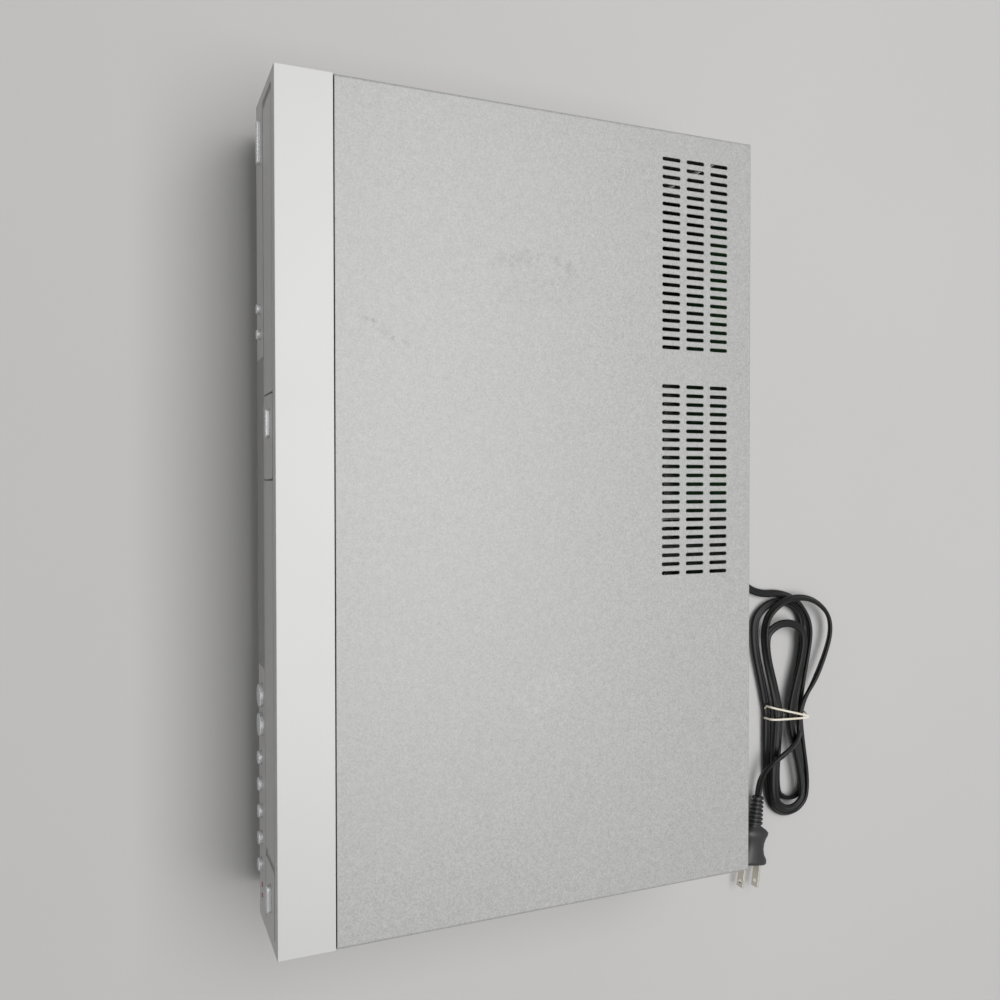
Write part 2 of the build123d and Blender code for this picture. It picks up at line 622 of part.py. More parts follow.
drive_inner = TRAY_WIDTH + 2 * SLIDE_GAP
drive_outer = drive_inner + 2 * DRIVE_WALL
traverse_left = TRAY_X - TRAVERSE_WIDTH / 2
traverse_right = TRAY_X + TRAVERSE_WIDTH / 2
drive_left = TRAY_X - drive_outer / 2
drive_right = TRAY_X + drive_outer / 2
drive_floor_top = DRIVE_FLOOR_Z + DRIVE_FLOOR

with BuildPart() as dvd_frame:
    add(span((drive_left, DRIVE_FRONT_Y, DRIVE_FLOOR_Z), (drive_right, DRIVE_REAR_Y, DRIVE_TOP_Z)))
    cavity_low = (drive_left + DRIVE_WALL, DRIVE_FRONT_Y, drive_floor_top)
    cavity_high = (drive_right - DRIVE_WALL, DRIVE_REAR_Y - DRIVE_WALL, DRIVE_TOP_Z)
    add(span(cavity_low, cavity_high), mode=Mode.SUBTRACT)
    window_low = (traverse_left - WINDOW_SIDE_GAP, TRAVERSE_FRONT_Y - WINDOW_FRONT_GAP, DRIVE_FLOOR_Z)
    window_high = (traverse_right + WINDOW_SIDE_GAP, TRAVERSE_REAR_Y + WINDOW_REAR_GAP, drive_floor_top)
    add(span(window_low, window_high), mode=Mode.SUBTRACT)
    ledge_middle = (DRIVE_FRONT_Y + DRIVE_REAR_Y - DRIVE_WALL) / 2
    ledge_size = (LEDGE_WIDTH, DRIVE_REAR_Y - DRIVE_WALL - DRIVE_FRONT_Y, LEDGE_SHEET)
    for wall_x, inward in ((drive_left + DRIVE_WALL, 1), (drive_right - DRIVE_WALL, -1)):
        ledge_x = wall_x + inward * LEDGE_WIDTH / 2
        add(slab((ledge_x, ledge_middle, TRAY_Z - LEDGE_SHEET - LEDGE_GAP), ledge_size))
        for y in KEEPER_PLACES:
            keeper_x = wall_x + inward * KEEPER_SIZE[0] / 2
            add(slab((keeper_x, y, TRAY_Z + TRAY_THICKNESS + KEEPER_GAP), KEEPER_SIZE))
    with BuildSketch(Plane.XY.offset(drive_floor_top)):
        with Locations((PINION_X, PINION_Y)):
            Circle(GEAR_PIN / 2)
    extrude(amount=PINION_Z + PINION_HEIGHT - drive_floor_top)
    with BuildSketch(Plane.XY.offset(DRIVE_FLOOR_Z)):
        with Locations((LOADING_MOTOR_X, PINION_Y)):
            Circle(SHAFT_HOLE_RADIUS)
    extrude(amount=DRIVE_FLOOR, mode=Mode.SUBTRACT)
    for ear_start in (traverse_left - PIVOT_GAP - TRAVERSE_EAR, traverse_right + PIVOT_GAP):
        with BuildSketch(Plane.YZ.offset(ear_start)):
            with Locations((TRAVERSE_PIVOT_Y + PIVOT_EAR_SHIFT, DRIVE_FLOOR_Z + TRAVERSE_EAR_HEIGHT / 2)):
                Rectangle(PIVOT_EAR_DEPTH, TRAVERSE_EAR_HEIGHT)
            with Locations((TRAVERSE_PIVOT_Y, TRAVERSE_PIVOT_Z)):
                Circle(TRAVERSE_PIN / 2 + RUNNING_GAP, mode=Mode.SUBTRACT)
        extrude(amount=TRAVERSE_EAR)
    leg_x = (drive_left + LEG_INSET, drive_right - LEG_INSET)
    leg_y = (FASCIA_REAR_Y + LEG_INSET, DRIVE_REAR_Y - LEG_INSET)
    with BuildSketch(Plane.XY.offset(PAN_TOP)):
        with Locations(*[(x, y) for x in leg_x for y in leg_y]):
            Circle(LEG_DIAMETER / 2)
    extrude(amount=DRIVE_FLOOR_Z - PAN_TOP)
save(dvd_frame.part, "dvd_frame")

with BuildPart() as clamp_bridge:
    with BuildSketch(Plane.XY.offset(DRIVE_TOP_Z)):
        with Locations((TRAY_X, DISC_Y)):
            Rectangle(drive_outer, BRIDGE_WIDTH)
            Circle(BRIDGE_BORE / 2, mode=Mode.SUBTRACT)
    extrude(amount=BRIDGE_SHEET)
save(clamp_bridge.part, "clamp_bridge")

with BuildPart(Plane.XY.offset(DRIVE_TOP_Z - CLAMP_DROP)) as disc_clamper:
    neck_height = CLAMP_DROP + BRIDGE_SHEET + CLAMP_GAP
    with Locations((TRAY_X, DISC_Y)):
        Cylinder(CLAMP_NECK / 2, neck_height, align=(Align.CENTER, Align.CENTER, Align.MIN))
        with Locations((0, 0, neck_height)):
            Cylinder(CLAMP_FLANGE / 2, CLAMP_FLANGE_HEIGHT, align=(Align.CENTER, Align.CENTER, Align.MIN))
save(disc_clamper.part, "disc_clamper")

# ---------------------------------------------------------------- loading drive
BELT_Z = PULLEY_Z + PULLEY_HEIGHT / 2
MOTOR_SHAFT = 2.0
SHAFT_REACH = 12.0
LOADING_MOTOR_RADIUS = 12.0
LOADING_MOTOR_LENGTH = 22.0
GEAR_NECK_STEP = 1.6

gear_tooth = tooth_outline(-TOOTH_DEPTH - GEAR_ROOT_SINK, TOOTH_DEPTH - TIP_RELIEF)
with BuildPart() as loading_gear:
    bore = GEAR_PIN / 2 + RUNNING_GAP
    with BuildSketch(Plane.XY.offset(PULLEY_Z)):
        with Locations((PINION_X, PINION_Y)):
            Circle(PULLEY_DIAMETER / 2)
    extrude(amount=PULLEY_HEIGHT)
    with BuildSketch(Plane.XY.offset(BELT_Z - BELT_HEIGHT / 2 - SEAT_GAP)):
        with Locations((PINION_X, PINION_Y)):
            Circle(PULLEY_DIAMETER / 2)
            Circle(PULLEY_DIAMETER / 2 - BELT_THICKNESS - SEAT_GAP, mode=Mode.SUBTRACT)
    extrude(amount=BELT_HEIGHT + 2 * SEAT_GAP, mode=Mode.SUBTRACT)
    with BuildSketch(Plane.XY.offset(PULLEY_Z)):
        with Locations((PINION_X, PINION_Y)):
            Circle(PINION_RADIUS - GEAR_NECK_STEP)
    extrude(amount=PINION_Z - PULLEY_Z)
    with BuildSketch(Plane.XY.offset(PINION_Z)):
        with Locations((PINION_X, PINION_Y)):
            Circle(PINION_RADIUS - TOOTH_DEPTH - ROOT_GAP)
            half_step = 180 / PINION_TEETH
            with PolarLocations(PINION_RADIUS, PINION_TEETH, start_angle=half_step):
                add(gear_tooth)
    extrude(amount=PINION_HEIGHT)
    with BuildSketch(Plane.XY.offset(PULLEY_Z)):
        with Locations((PINION_X, PINION_Y)):
            Circle(bore)
    extrude(amount=PINION_Z + PINION_HEIGHT - PULLEY_Z, mode=Mode.SUBTRACT)
save(loading_gear.part, "loading_gear")

with BuildPart() as motor_pulley:
    with BuildSketch(Plane.XY.offset(PULLEY_Z)):
        with Locations((LOADING_MOTOR_X, PINION_Y)):
            Circle(MOTOR_PULLEY_DIAMETER / 2)
    extrude(amount=PULLEY_HEIGHT)
    with BuildSketch(Plane.XY.offset(BELT_Z - BELT_HEIGHT / 2 - SEAT_GAP)):
        with Locations((LOADING_MOTOR_X, PINION_Y)):
            Circle(MOTOR_PULLEY_DIAMETER / 2)
            Circle(MOTOR_PULLEY_DIAMETER / 2 - BELT_THICKNESS - SEAT_GAP, mode=Mode.SUBTRACT)
    extrude(amount=BELT_HEIGHT + 2 * SEAT_GAP, mode=Mode.SUBTRACT)
    with BuildSketch(Plane.XY.offset(DRIVE_FLOOR_Z - SHAFT_REACH)):
        with Locations((LOADING_MOTOR_X, PINION_Y)):
            Circle(MOTOR_SHAFT / 2)
    extrude(amount=PULLEY_Z - DRIVE_FLOOR_Z + SHAFT_REACH)
save(motor_pulley.part, "motor_pulley")

with BuildPart() as loading_motor:
    with BuildSketch(Plane.XY.offset(DRIVE_FLOOR_Z)):
        with Locations((LOADING_MOTOR_X, PINION_Y)):
            Circle(LOADING_MOTOR_RADIUS)
    extrude(amount=-LOADING_MOTOR_LENGTH)
    with BuildSketch(Plane.XY.offset(DRIVE_FLOOR_Z)):
        with Locations((LOADING_MOTOR_X, PINION_Y)):
            Circle(MOTOR_SHAFT / 2 + RUNNING_GAP)
    extrude(amount=-SHAFT_REACH - 1.0, mode=Mode.SUBTRACT)
save(loading_motor.part, "loading_motor")


def belt_outline(extra):
    """The line that a belt takes round both pulleys, so far outside their groove floors."""
    big = PULLEY_DIAMETER / 2 - BELT_THICKNESS + extra
    small = MOTOR_PULLEY_DIAMETER / 2 - BELT_THICKNESS + extra
    reach = LOADING_MOTOR_X - PINION_X
    lean = (big - small) / reach
    rise = (1 - lean**2) ** 0.5
    upper_big = (PINION_X + big * lean, PINION_Y + big * rise)
    lower_big = (PINION_X + big * lean, PINION_Y - big * rise)
    upper_small = (LOADING_MOTOR_X + small * lean, PINION_Y + small * rise)
    lower_small = (LOADING_MOTOR_X + small * lean, PINION_Y - small * rise)
    with BuildSketch() as outline:
        with BuildLine():
            ThreePointArc(upper_big, (PINION_X - big, PINION_Y), lower_big)
            Line(lower_big, lower_small)
            ThreePointArc(lower_small, (LOADING_MOTOR_X + small, PINION_Y), upper_small)
            Line(upper_small, upper_big)
        make_face()
    return outline.sketch


belt_outer = belt_outline(BELT_THICKNESS)
belt_inner = belt_outline(0.0)
with BuildPart() as loading_belt:
    with BuildSketch(Plane.XY.offset(BELT_Z - BELT_HEIGHT / 2)):
        add(belt_outer)
        add(belt_inner, mode=Mode.SUBTRACT)
    extrude(amount=BELT_HEIGHT)
save(loading_belt.part, "loading_belt")

# ---------------------------------------------------------------- pickup traverse
SLED_ROD_SPREAD = 26.0
SLED_ROD_Z = HEIGHT - 37.5
SLED_WIDTH = 32.0
SLED_LENGTH = 26.5
SLED_Z = HEIGHT - 41.0
SLED_HEIGHT = 7.0
SCREW_X = TRAY_X + 22.0
SCREW_DIAMETER = 3.0
BLOCK_THICKNESS = 3.0
BLOCK_HEIGHT = 9.0
BLOCK_FRONT_Y = -57.0
BLOCK_REAR_Y = 10.0
TURNTABLE_DIAMETER = 28.0
TURNTABLE_Z = HEIGHT - 26.5
SPINDLE_MOTOR_DIAMETER = 25.0
SLED_MOTOR_DIAMETER = 10.0
SLED_MOTOR_LENGTH = 15.0
SPINDLE_SHAFT = 2.0
BAY_HALF = 19.0  # of the opening that the sled runs in
BLOCK_OVERHANG = 5.0
SLED_FRONT_GAP = 1.5
NUT_REACH = 4.0
NUT_LENGTH = 8.0
LENS_HOUSING_RADIUS = 4.0
LENS_HOUSING_HEIGHT = 1.6
LENS_RADIUS = 2.3
LENS_HEIGHT = 0.6
SPINDLE_MOTOR_HEIGHT = 8.0
SPINDLE_FLOOR = 1.0
SPINDLE_GAP = 0.3
TURNTABLE_NECK_RADIUS = 4.0
TURNTABLE_SHEET = 1.5
TURNTABLE_CONE_RADIUS = 7.4
TURNTABLE_CONE_HEIGHT = 3.0
traverse_top = TRAVERSE_Z + TRAVERSE_SHEET
rod_places = [(TRAY_X - SLED_ROD_SPREAD / 2, SLED_ROD_Z), (TRAY_X + SLED_ROD_SPREAD / 2, SLED_ROD_Z)]


def along_y(y):
    """A plane at y that looks back along +Y, with X across and Z up."""
    return Plane((0, y, 0), x_dir=(-1, 0, 0), z_dir=(0, 1, 0))


with BuildPart() as traverse_frame:
    add(span((traverse_left, TRAVERSE_FRONT_Y, TRAVERSE_Z), (traverse_right, TRAVERSE_REAR_Y, traverse_top)))
    bay_low = (TRAY_X - BAY_HALF, BLOCK_FRONT_Y + BLOCK_THICKNESS, TRAVERSE_Z)
    bay_high = (TRAY_X + BAY_HALF, BLOCK_REAR_Y, traverse_top)
    add(span(bay_low, bay_high), mode=Mode.SUBTRACT)
    for y in (BLOCK_FRONT_Y, BLOCK_REAR_Y):
        block_high = (SCREW_X + BLOCK_OVERHANG, y + BLOCK_THICKNESS, traverse_top + BLOCK_HEIGHT)
        add(span((TRAY_X - BAY_HALF, y, traverse_top), block_high))
    with BuildSketch(along_y(BLOCK_FRONT_Y)):
        with Locations(*[(-x, z) for x, z in rod_places]):
            Circle(SLED_ROD_DIAMETER / 2)
        with Locations((-SCREW_X, SLED_ROD_Z)):
            Circle(SCREW_DIAMETER / 2 + RUNNING_GAP)
    extrude(amount=BLOCK_REAR_Y + BLOCK_THICKNESS - BLOCK_FRONT_Y, mode=Mode.SUBTRACT)
    with BuildSketch(Plane.YZ.offset(traverse_left - TRAVERSE_EAR)):
        with Locations((TRAVERSE_PIVOT_Y, TRAVERSE_PIVOT_Z)):
            Circle(TRAVERSE_PIN / 2)
    extrude(amount=TRAVERSE_EAR)
    with BuildSketch(Plane.YZ.offset(traverse_right)):
        with Locations((TRAVERSE_PIVOT_Y, TRAVERSE_PIVOT_Z)):
            Circle(TRAVERSE_PIN / 2)
    extrude(amount=TRAVERSE_EAR)
save(traverse_frame.part, "traverse_frame")

with BuildPart() as guide_rods:
    with BuildSketch(along_y(BLOCK_FRONT_Y)):
        with Locations(*[(-x, z) for x, z in rod_places]):
            Circle(SLED_ROD_DIAMETER / 2)
    extrude(amount=BLOCK_REAR_Y + BLOCK_THICKNESS - BLOCK_FRONT_Y)
save(guide_rods.part, "guide_rods")

with BuildPart() as lead_screw:
    with BuildSketch(along_y(BLOCK_FRONT_Y + SEAT_GAP)):
        with Locations((-SCREW_X, SLED_ROD_Z)):
            Circle(SCREW_DIAMETER / 2)
    extrude(amount=BLOCK_REAR_Y + BLOCK_THICKNESS - BLOCK_FRONT_Y - 2 * SEAT_GAP)
save(lead_screw.part, "lead_screw")

with BuildPart() as pickup_sled:
    lens_y = DISC_Y + LENS_REST_RADIUS
    sled_front = BLOCK_FRONT_Y + BLOCK_THICKNESS + SLED_FRONT_GAP
    sled_right = TRAY_X + SLED_WIDTH / 2
    sled_top = SLED_Z + SLED_HEIGHT
    add(span((TRAY_X - SLED_WIDTH / 2, sled_front, SLED_Z), (sled_right, sled_front + SLED_LENGTH, sled_top)))
    add(span((sled_right, lens_y, SLED_Z), (SCREW_X + NUT_REACH, lens_y + NUT_LENGTH, sled_top)))
    with BuildSketch(Plane.XY.offset(sled_top)):
        with Locations((TRAY_X, lens_y)):
            Circle(LENS_HOUSING_RADIUS)
    extrude(amount=LENS_HOUSING_HEIGHT)
    with BuildSketch(Plane.XY.offset(sled_top + LENS_HOUSING_HEIGHT)):
        with Locations((TRAY_X, lens_y)):
            Circle(LENS_RADIUS)
    extrude(amount=LENS_HEIGHT, taper=20)
    with BuildSketch(along_y(sled_front)):
        with Locations(*[(-x, z) for x, z in rod_places]):
            Circle(SLED_ROD_DIAMETER / 2 + RUNNING_GAP)
        with Locations((-SCREW_X, SLED_ROD_Z)):
            Circle(SCREW_DIAMETER / 2 + RUNNING_GAP)
    extrude(amount=SLED_LENGTH, mode=Mode.SUBTRACT)
save(pickup_sled.part, "pickup_sled")

with BuildPart() as traverse_motors:
    with BuildSketch(along_y(BLOCK_FRONT_Y)):
        with Locations((-SCREW_X, SLED_ROD_Z)):
            Circle(SLED_MOTOR_DIAMETER / 2)
    extrude(amount=-SLED_MOTOR_LENGTH)
    with BuildSketch(Plane.XY.offset(traverse_top)):
        with Locations((TRAY_X, DISC_Y)):
            Circle(SPINDLE_MOTOR_DIAMETER / 2)
    extrude(amount=SPINDLE_MOTOR_HEIGHT)
    with BuildSketch(Plane.XY.offset(traverse_top + SPINDLE_FLOOR)):
        with Locations((TRAY_X, DISC_Y)):
            Circle(SPINDLE_SHAFT / 2 + RUNNING_GAP)
    extrude(amount=SPINDLE_MOTOR_HEIGHT - SPINDLE_FLOOR, mode=Mode.SUBTRACT)
save(traverse_motors.part, "traverse_motors")

with BuildPart() as turntable:
    shaft_foot = traverse_top + SPINDLE_FLOOR + SPINDLE_GAP
    neck_foot = traverse_top + SPINDLE_MOTOR_HEIGHT + SPINDLE_GAP
    with BuildSketch(Plane.XY.offset(shaft_foot)):
        with Locations((TRAY_X, DISC_Y)):
            Circle(SPINDLE_SHAFT / 2)
    extrude(amount=TURNTABLE_Z - shaft_foot)
    with BuildSketch(Plane.XY.offset(neck_foot)):
        with Locations((TRAY_X, DISC_Y)):
            Circle(TURNTABLE_NECK_RADIUS)
    extrude(amount=TURNTABLE_Z - neck_foot)
    with BuildSketch(Plane.XY.offset(TURNTABLE_Z)):
        with Locations((TRAY_X, DISC_Y)):
            Circle(TURNTABLE_DIAMETER / 2)
    extrude(amount=TURNTABLE_SHEET)
    with BuildSketch(Plane.XY.offset(TURNTABLE_Z + TURNTABLE_SHEET)):
        with Locations((TRAY_X, DISC_Y)):
            Circle(TURNTABLE_CONE_RADIUS)
    extrude(amount=TURNTABLE_CONE_HEIGHT, taper=25)
save(turntable.part, "turntable")

# ---------------------------------------------------------------- cassette door
DOOR_THICKNESS = 2.0
DOOR_ARM = 2.0
DOOR_ROUND = 0.4
slot_floor = below(SLOT_TOP + SLOT_HEIGHT)
door_left = SLOT_LEFT + PANEL_GAP
door_right = SLOT_RIGHT - PANEL_GAP

with BuildPart() as cassette_door:
    with BuildSketch(face_plane()):
        with Locations((DECK_X, below(SLOT_TOP + SLOT_HEIGHT / 2))):
            Rectangle(door_right - door_left, SLOT_HEIGHT - 2 * PANEL_GAP)
    extrude(amount=-DOOR_THICKNESS)
    fillet(cassette_door.faces().sort_by(Axis.Y)[0].edges(), DOOR_ROUND)
    for arm_x in (door_left, door_right - DOOR_ARM):
        with BuildSketch(Plane.YZ.offset(arm_x)):
            with BuildLine():
                Polyline(
                    (FRONT_Y + DOOR_THICKNESS / 2, below(SLOT_TOP + 9)),
                    (FRONT_Y + DOOR_THICKNESS / 2, below(SLOT_TOP + 1)),
                    (FASCIA_INNER_Y + 0.3, below(SLOT_TOP + 1)),
                    (FASCIA_INNER_Y + 0.3, below(PIVOT_DROP - 0.5)),
                    (PIVOT_Y - 0.8, below(PIVOT_DROP - 1.6)),
                    (PIVOT_Y + 2, below(PIVOT_DROP - 1.7)),
                    (PIVOT_Y + 2, below(SLOT_TOP + 4)),
                    close=True,
                )
            make_face()
        extrude(amount=DOOR_ARM)
    pin_reach = EAR_THICKNESS + EAR_GAP + PANEL_GAP
    for start in (door_left - pin_reach, door_right):
        with BuildSketch(Plane.YZ.offset(start)):
            with Locations((PIVOT_Y, below(PIVOT_DROP))):
                Circle(PIVOT_PIN / 2)
        extrude(amount=pin_reach)
save(cassette_door.part, "cassette_door")

# ---------------------------------------------------------------- cassette deck frame
bracket_out = DECK_WIDTH / 2
bracket_in = bracket_out - DECK_SHEET
deck_top = DECK_PLATE_Z + DECK_SHEET
BRACKET_REAR_Y = 34.0
BRACKET_TOP = HEIGHT - 12.0
DECK_REAR_Y = 106.0
DECK_NARROW_LEFT = -47.5  # from the deck's middle, behind the brackets
SLIDER_Z = HEIGHT - 34.0
SLIDER_Y = -31.0
SLIDER_PROUD = 2.0
REEL_PIN = 3.0
REEL_PIN_TOP = 49.0
GUIDE_START = (27.5, 30.0)  # from the deck's middle; y in the player's frame
GUIDE_END = (43.5, 84.0)
GUIDE_SLOT = 4.4
PINCH_PIVOT = (DECK_X + 82.5, 58.0)
PINCH_ROLLER = (DECK_X + 78.5, 34.0)
PINCH_PIN = 4.0
PINCH_PIN_HEIGHT = 16.0
LEG_WIDTH = 10.0
DECK_LEGS = ((-12.0, -98.0), (167.0, -98.0), (34.0, 100.0), (150.0, 100.0))

guide_run = (GUIDE_END[0] - GUIDE_START[0], GUIDE_END[1] - GUIDE_START[1])
guide_travel = hypot(*guide_run)
guide_way = tuple(round(leg / guide_travel, 5) for leg in guide_run)
print(f"guide travel {guide_travel:.2f} mm, direction {guide_way}")


with BuildPart() as deck_frame:
    with BuildSketch(Plane.XY.offset(DECK_PLATE_Z)):
        with Locations((DECK_X, (DECK_FRONT_Y + BRACKET_REAR_Y) / 2)):
            Rectangle(DECK_WIDTH, BRACKET_REAR_Y - DECK_FRONT_Y)
        rear_width = bracket_out - DECK_NARROW_LEFT
        with Locations((DECK_X + (bracket_out + DECK_NARROW_LEFT) / 2, (BRACKET_REAR_Y + DECK_REAR_Y) / 2)):
            Rectangle(rear_width, DECK_REAR_Y - BRACKET_REAR_Y)
        with Locations((CAPSTAN_X, CAPSTAN_Y)):
            Circle(CAPSTAN_DIAMETER / 2 + RUNNING_GAP, mode=Mode.SUBTRACT)
        for side in (-1, 1):
            lean = degrees(atan2(guide_run[1], side * guide_run[0]))
            slot_middle = DECK_X + side * (GUIDE_START[0] + GUIDE_END[0]) / 2
            with Locations((slot_middle, (GUIDE_START[1] + GUIDE_END[1]) / 2)):
                SlotCenterToCenter(guide_travel + 0.4, GUIDE_SLOT, rotation=lean, mode=Mode.SUBTRACT)
    extrude(amount=DECK_SHEET)
    for start in (DECK_X - bracket_out, DECK_X + bracket_in):
        with BuildSketch(Plane.YZ.offset(start)):
            bracket_middle = (DECK_FRONT_Y + BRACKET_REAR_Y) / 2
            with Locations((bracket_middle, (deck_top + BRACKET_TOP) / 2)):
                Rectangle(BRACKET_REAR_Y - DECK_FRONT_Y, BRACKET_TOP - deck_top)
            with Locations((SLIDER_Y + HOLDER_IN / 2, SLIDER_Z)):
                slider_slot = SLIDER_DIAMETER + 2 * RUNNING_GAP
                SlotOverall(HOLDER_IN + slider_slot, slider_slot, mode=Mode.SUBTRACT)
        extrude(amount=DECK_SHEET)
    with BuildSketch(Plane.XY.offset(deck_top)):
        with Locations((DECK_X - REEL_SPREAD / 2, REEL_Y), (DECK_X + REEL_SPREAD / 2, REEL_Y)):
            Circle(REEL_PIN / 2)
    extrude(amount=REEL_PIN_TOP - deck_top)
    with BuildSketch(Plane.XY.offset(deck_top)):
        with Locations(PINCH_PIVOT):
            Circle(PINCH_PIN / 2)
    extrude(amount=PINCH_PIN_HEIGHT)
    for x, y in DECK_LEGS:
        add(slab((x, y, PAN_TOP), (LEG_WIDTH, DECK_SHEET, DECK_PLATE_Z - PAN_TOP)))
save(deck_frame.part, "deck_frame")

# ---------------------------------------------------------------- cassette holder
HOLDER_SIDE_GAP = 1.0
HOLDER_LEDGE = 18.0
HOLDER_EAR = 10.0
HOLDER_EAR_BOTTOM = HEIGHT - 39.0
HOLDER_EAR_TOP = HEIGHT - 7.0
HOLDER_EAR_MARGIN = 4.0
HOLDER_BRIDGE = 22.0
HOLDER_BRIDGE_FRONT = 26.0  # in front of the holder's rear end
HOLDER_LIFT = 0.6  # over the slot's floor
holder_out = bracket_in - HOLDER_SIDE_GAP
holder_in_x = holder_out - HOLDER_SHEET
holder_floor = slot_floor + HOLDER_LIFT
holder_ceiling = holder_floor + HOLDER_SHEET + CASSETTE_CLEAR
holder_rear = DECK_FRONT_Y + HOLDER_LENGTH

with BuildPart() as cassette_holder:
    for side in (-1, 1):
        wall = side * (holder_out - HOLDER_SHEET / 2)
        wall_height = holder_ceiling + HOLDER_SHEET - holder_floor
        wall_middle = (DECK_FRONT_Y + holder_rear) / 2
        add(slab((DECK_X + wall, wall_middle, holder_floor), (HOLDER_SHEET, HOLDER_LENGTH, wall_height)))
        ledge = side * (holder_in_x - HOLDER_LEDGE / 2 + HOLDER_SHEET / 2)
        ledge_size = (HOLDER_LEDGE + HOLDER_SHEET, HOLDER_LENGTH, HOLDER_SHEET)
        add(slab((DECK_X + ledge, wall_middle, holder_floor), ledge_size))
        with BuildSketch(Plane.YZ.offset(DECK_X + wall - HOLDER_SHEET / 2)):
            ear_middle = (HOLDER_EAR_BOTTOM + HOLDER_EAR_TOP) / 2
            with Locations((SLIDER_Y, ear_middle)):
                Rectangle(HOLDER_EAR + HOLDER_EAR_MARGIN, HOLDER_EAR_TOP - HOLDER_EAR_BOTTOM)
            ear_slot = SLIDER_DIAMETER + 2 * RUNNING_GAP
            with Locations((SLIDER_Y, SLIDER_Z + HOLDER_DOWN / 2)):
                SlotOverall(HOLDER_DOWN + ear_slot, ear_slot, rotation=90, mode=Mode.SUBTRACT)
        extrude(amount=HOLDER_SHEET)
    bridge_front = holder_rear - HOLDER_BRIDGE_FRONT
    bridge_low = (DECK_X - holder_out, bridge_front, holder_ceiling)
    bridge_high = (DECK_X + holder_out, bridge_front + HOLDER_BRIDGE, holder_ceiling + HOLDER_SHEET)
    add(span(bridge_low, bridge_high))
save(cassette_holder.part, "cassette_holder")

with BuildPart() as slider_shaft:
    with BuildSketch(Plane.YZ.offset(DECK_X - bracket_out - SLIDER_PROUD)):
        with Locations((SLIDER_Y, SLIDER_Z)):
            Circle(SLIDER_DIAMETER / 2)
    extrude(amount=DECK_WIDTH + 2 * SLIDER_PROUD)
save(slider_shaft.part, "slider_shaft")

# ---------------------------------------------------------------- reels
REEL_Z = deck_top + SEAT_GAP
REEL_PLATE = 4.0
REEL_HUB = 9.0
REEL_HUB_HEIGHT = 10.0
REEL_SPLINES = 3
SPLINE_SIZE = (2.4, 1.6)


def reel_table(x):
    """A reel table with its splined hub, turning on a pin of the deck."""
    with BuildPart() as reel:
        with BuildSketch(Plane.XY.offset(REEL_Z)):
            with Locations((x, REEL_Y)):
                Circle(REEL_DIAMETER / 2)
        extrude(amount=REEL_PLATE)
        with BuildSketch(Plane.XY.offset(REEL_Z + REEL_PLATE)):
            with Locations((x, REEL_Y)):
                Circle(REEL_HUB / 2)
                with PolarLocations(REEL_HUB / 2, REEL_SPLINES):
                    Rectangle(*SPLINE_SIZE)
        extrude(amount=REEL_HUB_HEIGHT)
        with BuildSketch(Plane.XY.offset(REEL_Z)):
            with Locations((x, REEL_Y)):
                Circle(REEL_PIN / 2 + RUNNING_GAP)
        extrude(amount=REEL_PLATE + REEL_HUB_HEIGHT, mode=Mode.SUBTRACT)
    return reel.part


save(reel_table(DECK_X - REEL_SPREAD / 2), "supply_reel")
save(reel_table(DECK_X + REEL_SPREAD / 2), "takeup_reel")

# ---------------------------------------------------------------- head drum and capstan
LOWER_DRUM_HEIGHT = 20.0
UPPER_DRUM_HEIGHT = 22.0
DRUM_GAP = 0.4
DRUM_SHAFT = 5.0
DRUM_BASE_Z = deck_top + 4.0
DRUM_PEDESTAL = (44.0, 40.0, 6.5)
DRUM_EDGE = 1.0
DRUM_SHAFT_FOOT = 6.0
drum_plane = Plane(
    origin=(DECK_X, DRUM_Y, DRUM_BASE_Z),
    x_dir=(1, 0, 0),
    z_dir=(0, -sin(radians(DRUM_TILT)), cos(radians(DRUM_TILT))),
)

with BuildPart() as lower_drum:
    add(slab((DECK_X, DRUM_Y, deck_top), DRUM_PEDESTAL))
    with BuildSketch(drum_plane):
        Circle(DRUM_DIAMETER / 2)
    extrude(amount=LOWER_DRUM_HEIGHT)
    with BuildSketch(drum_plane):
        Circle(DRUM_SHAFT / 2 + RUNNING_GAP)
    extrude(amount=LOWER_DRUM_HEIGHT, mode=Mode.SUBTRACT)
save(lower_drum.part, "lower_drum")

with BuildPart() as upper_drum:
    with BuildSketch(drum_plane.offset(LOWER_DRUM_HEIGHT + DRUM_GAP)):
        Circle(DRUM_DIAMETER / 2)
    extrude(amount=UPPER_DRUM_HEIGHT)
    chamfer(upper_drum.edges().filter_by(GeomType.CIRCLE).sort_by(Axis.Z)[-1], DRUM_EDGE)
    with BuildSketch(drum_plane.offset(DRUM_SHAFT_FOOT)):
        Circle(DRUM_SHAFT / 2)
    extrude(amount=LOWER_DRUM_HEIGHT + DRUM_GAP - DRUM_SHAFT_FOOT)
save(upper_drum.part, "upper_drum")

FLYWHEEL_Z = 20.0
FLYWHEEL_RADIUS = 26.0
FLYWHEEL_SHEET = 8.0
CAPSTAN_TOP = 59.0
STATOR_RADIUS = 24.0
STATOR_BORE_RADIUS = 5.0
STATOR_SHEET = 5.5

with BuildPart() as capstan:
    with BuildSketch(Plane.XY.offset(FLYWHEEL_Z)):
        with Locations((CAPSTAN_X, CAPSTAN_Y)):
            Circle(FLYWHEEL_RADIUS)
    extrude(amount=FLYWHEEL_SHEET)
    with BuildSketch(Plane.XY.offset(FLYWHEEL_Z + FLYWHEEL_SHEET)):
        with Locations((CAPSTAN_X, CAPSTAN_Y)):
            Circle(CAPSTAN_DIAMETER / 2)
    extrude(amount=CAPSTAN_TOP - FLYWHEEL_Z - FLYWHEEL_SHEET)
save(capstan.part, "capstan")

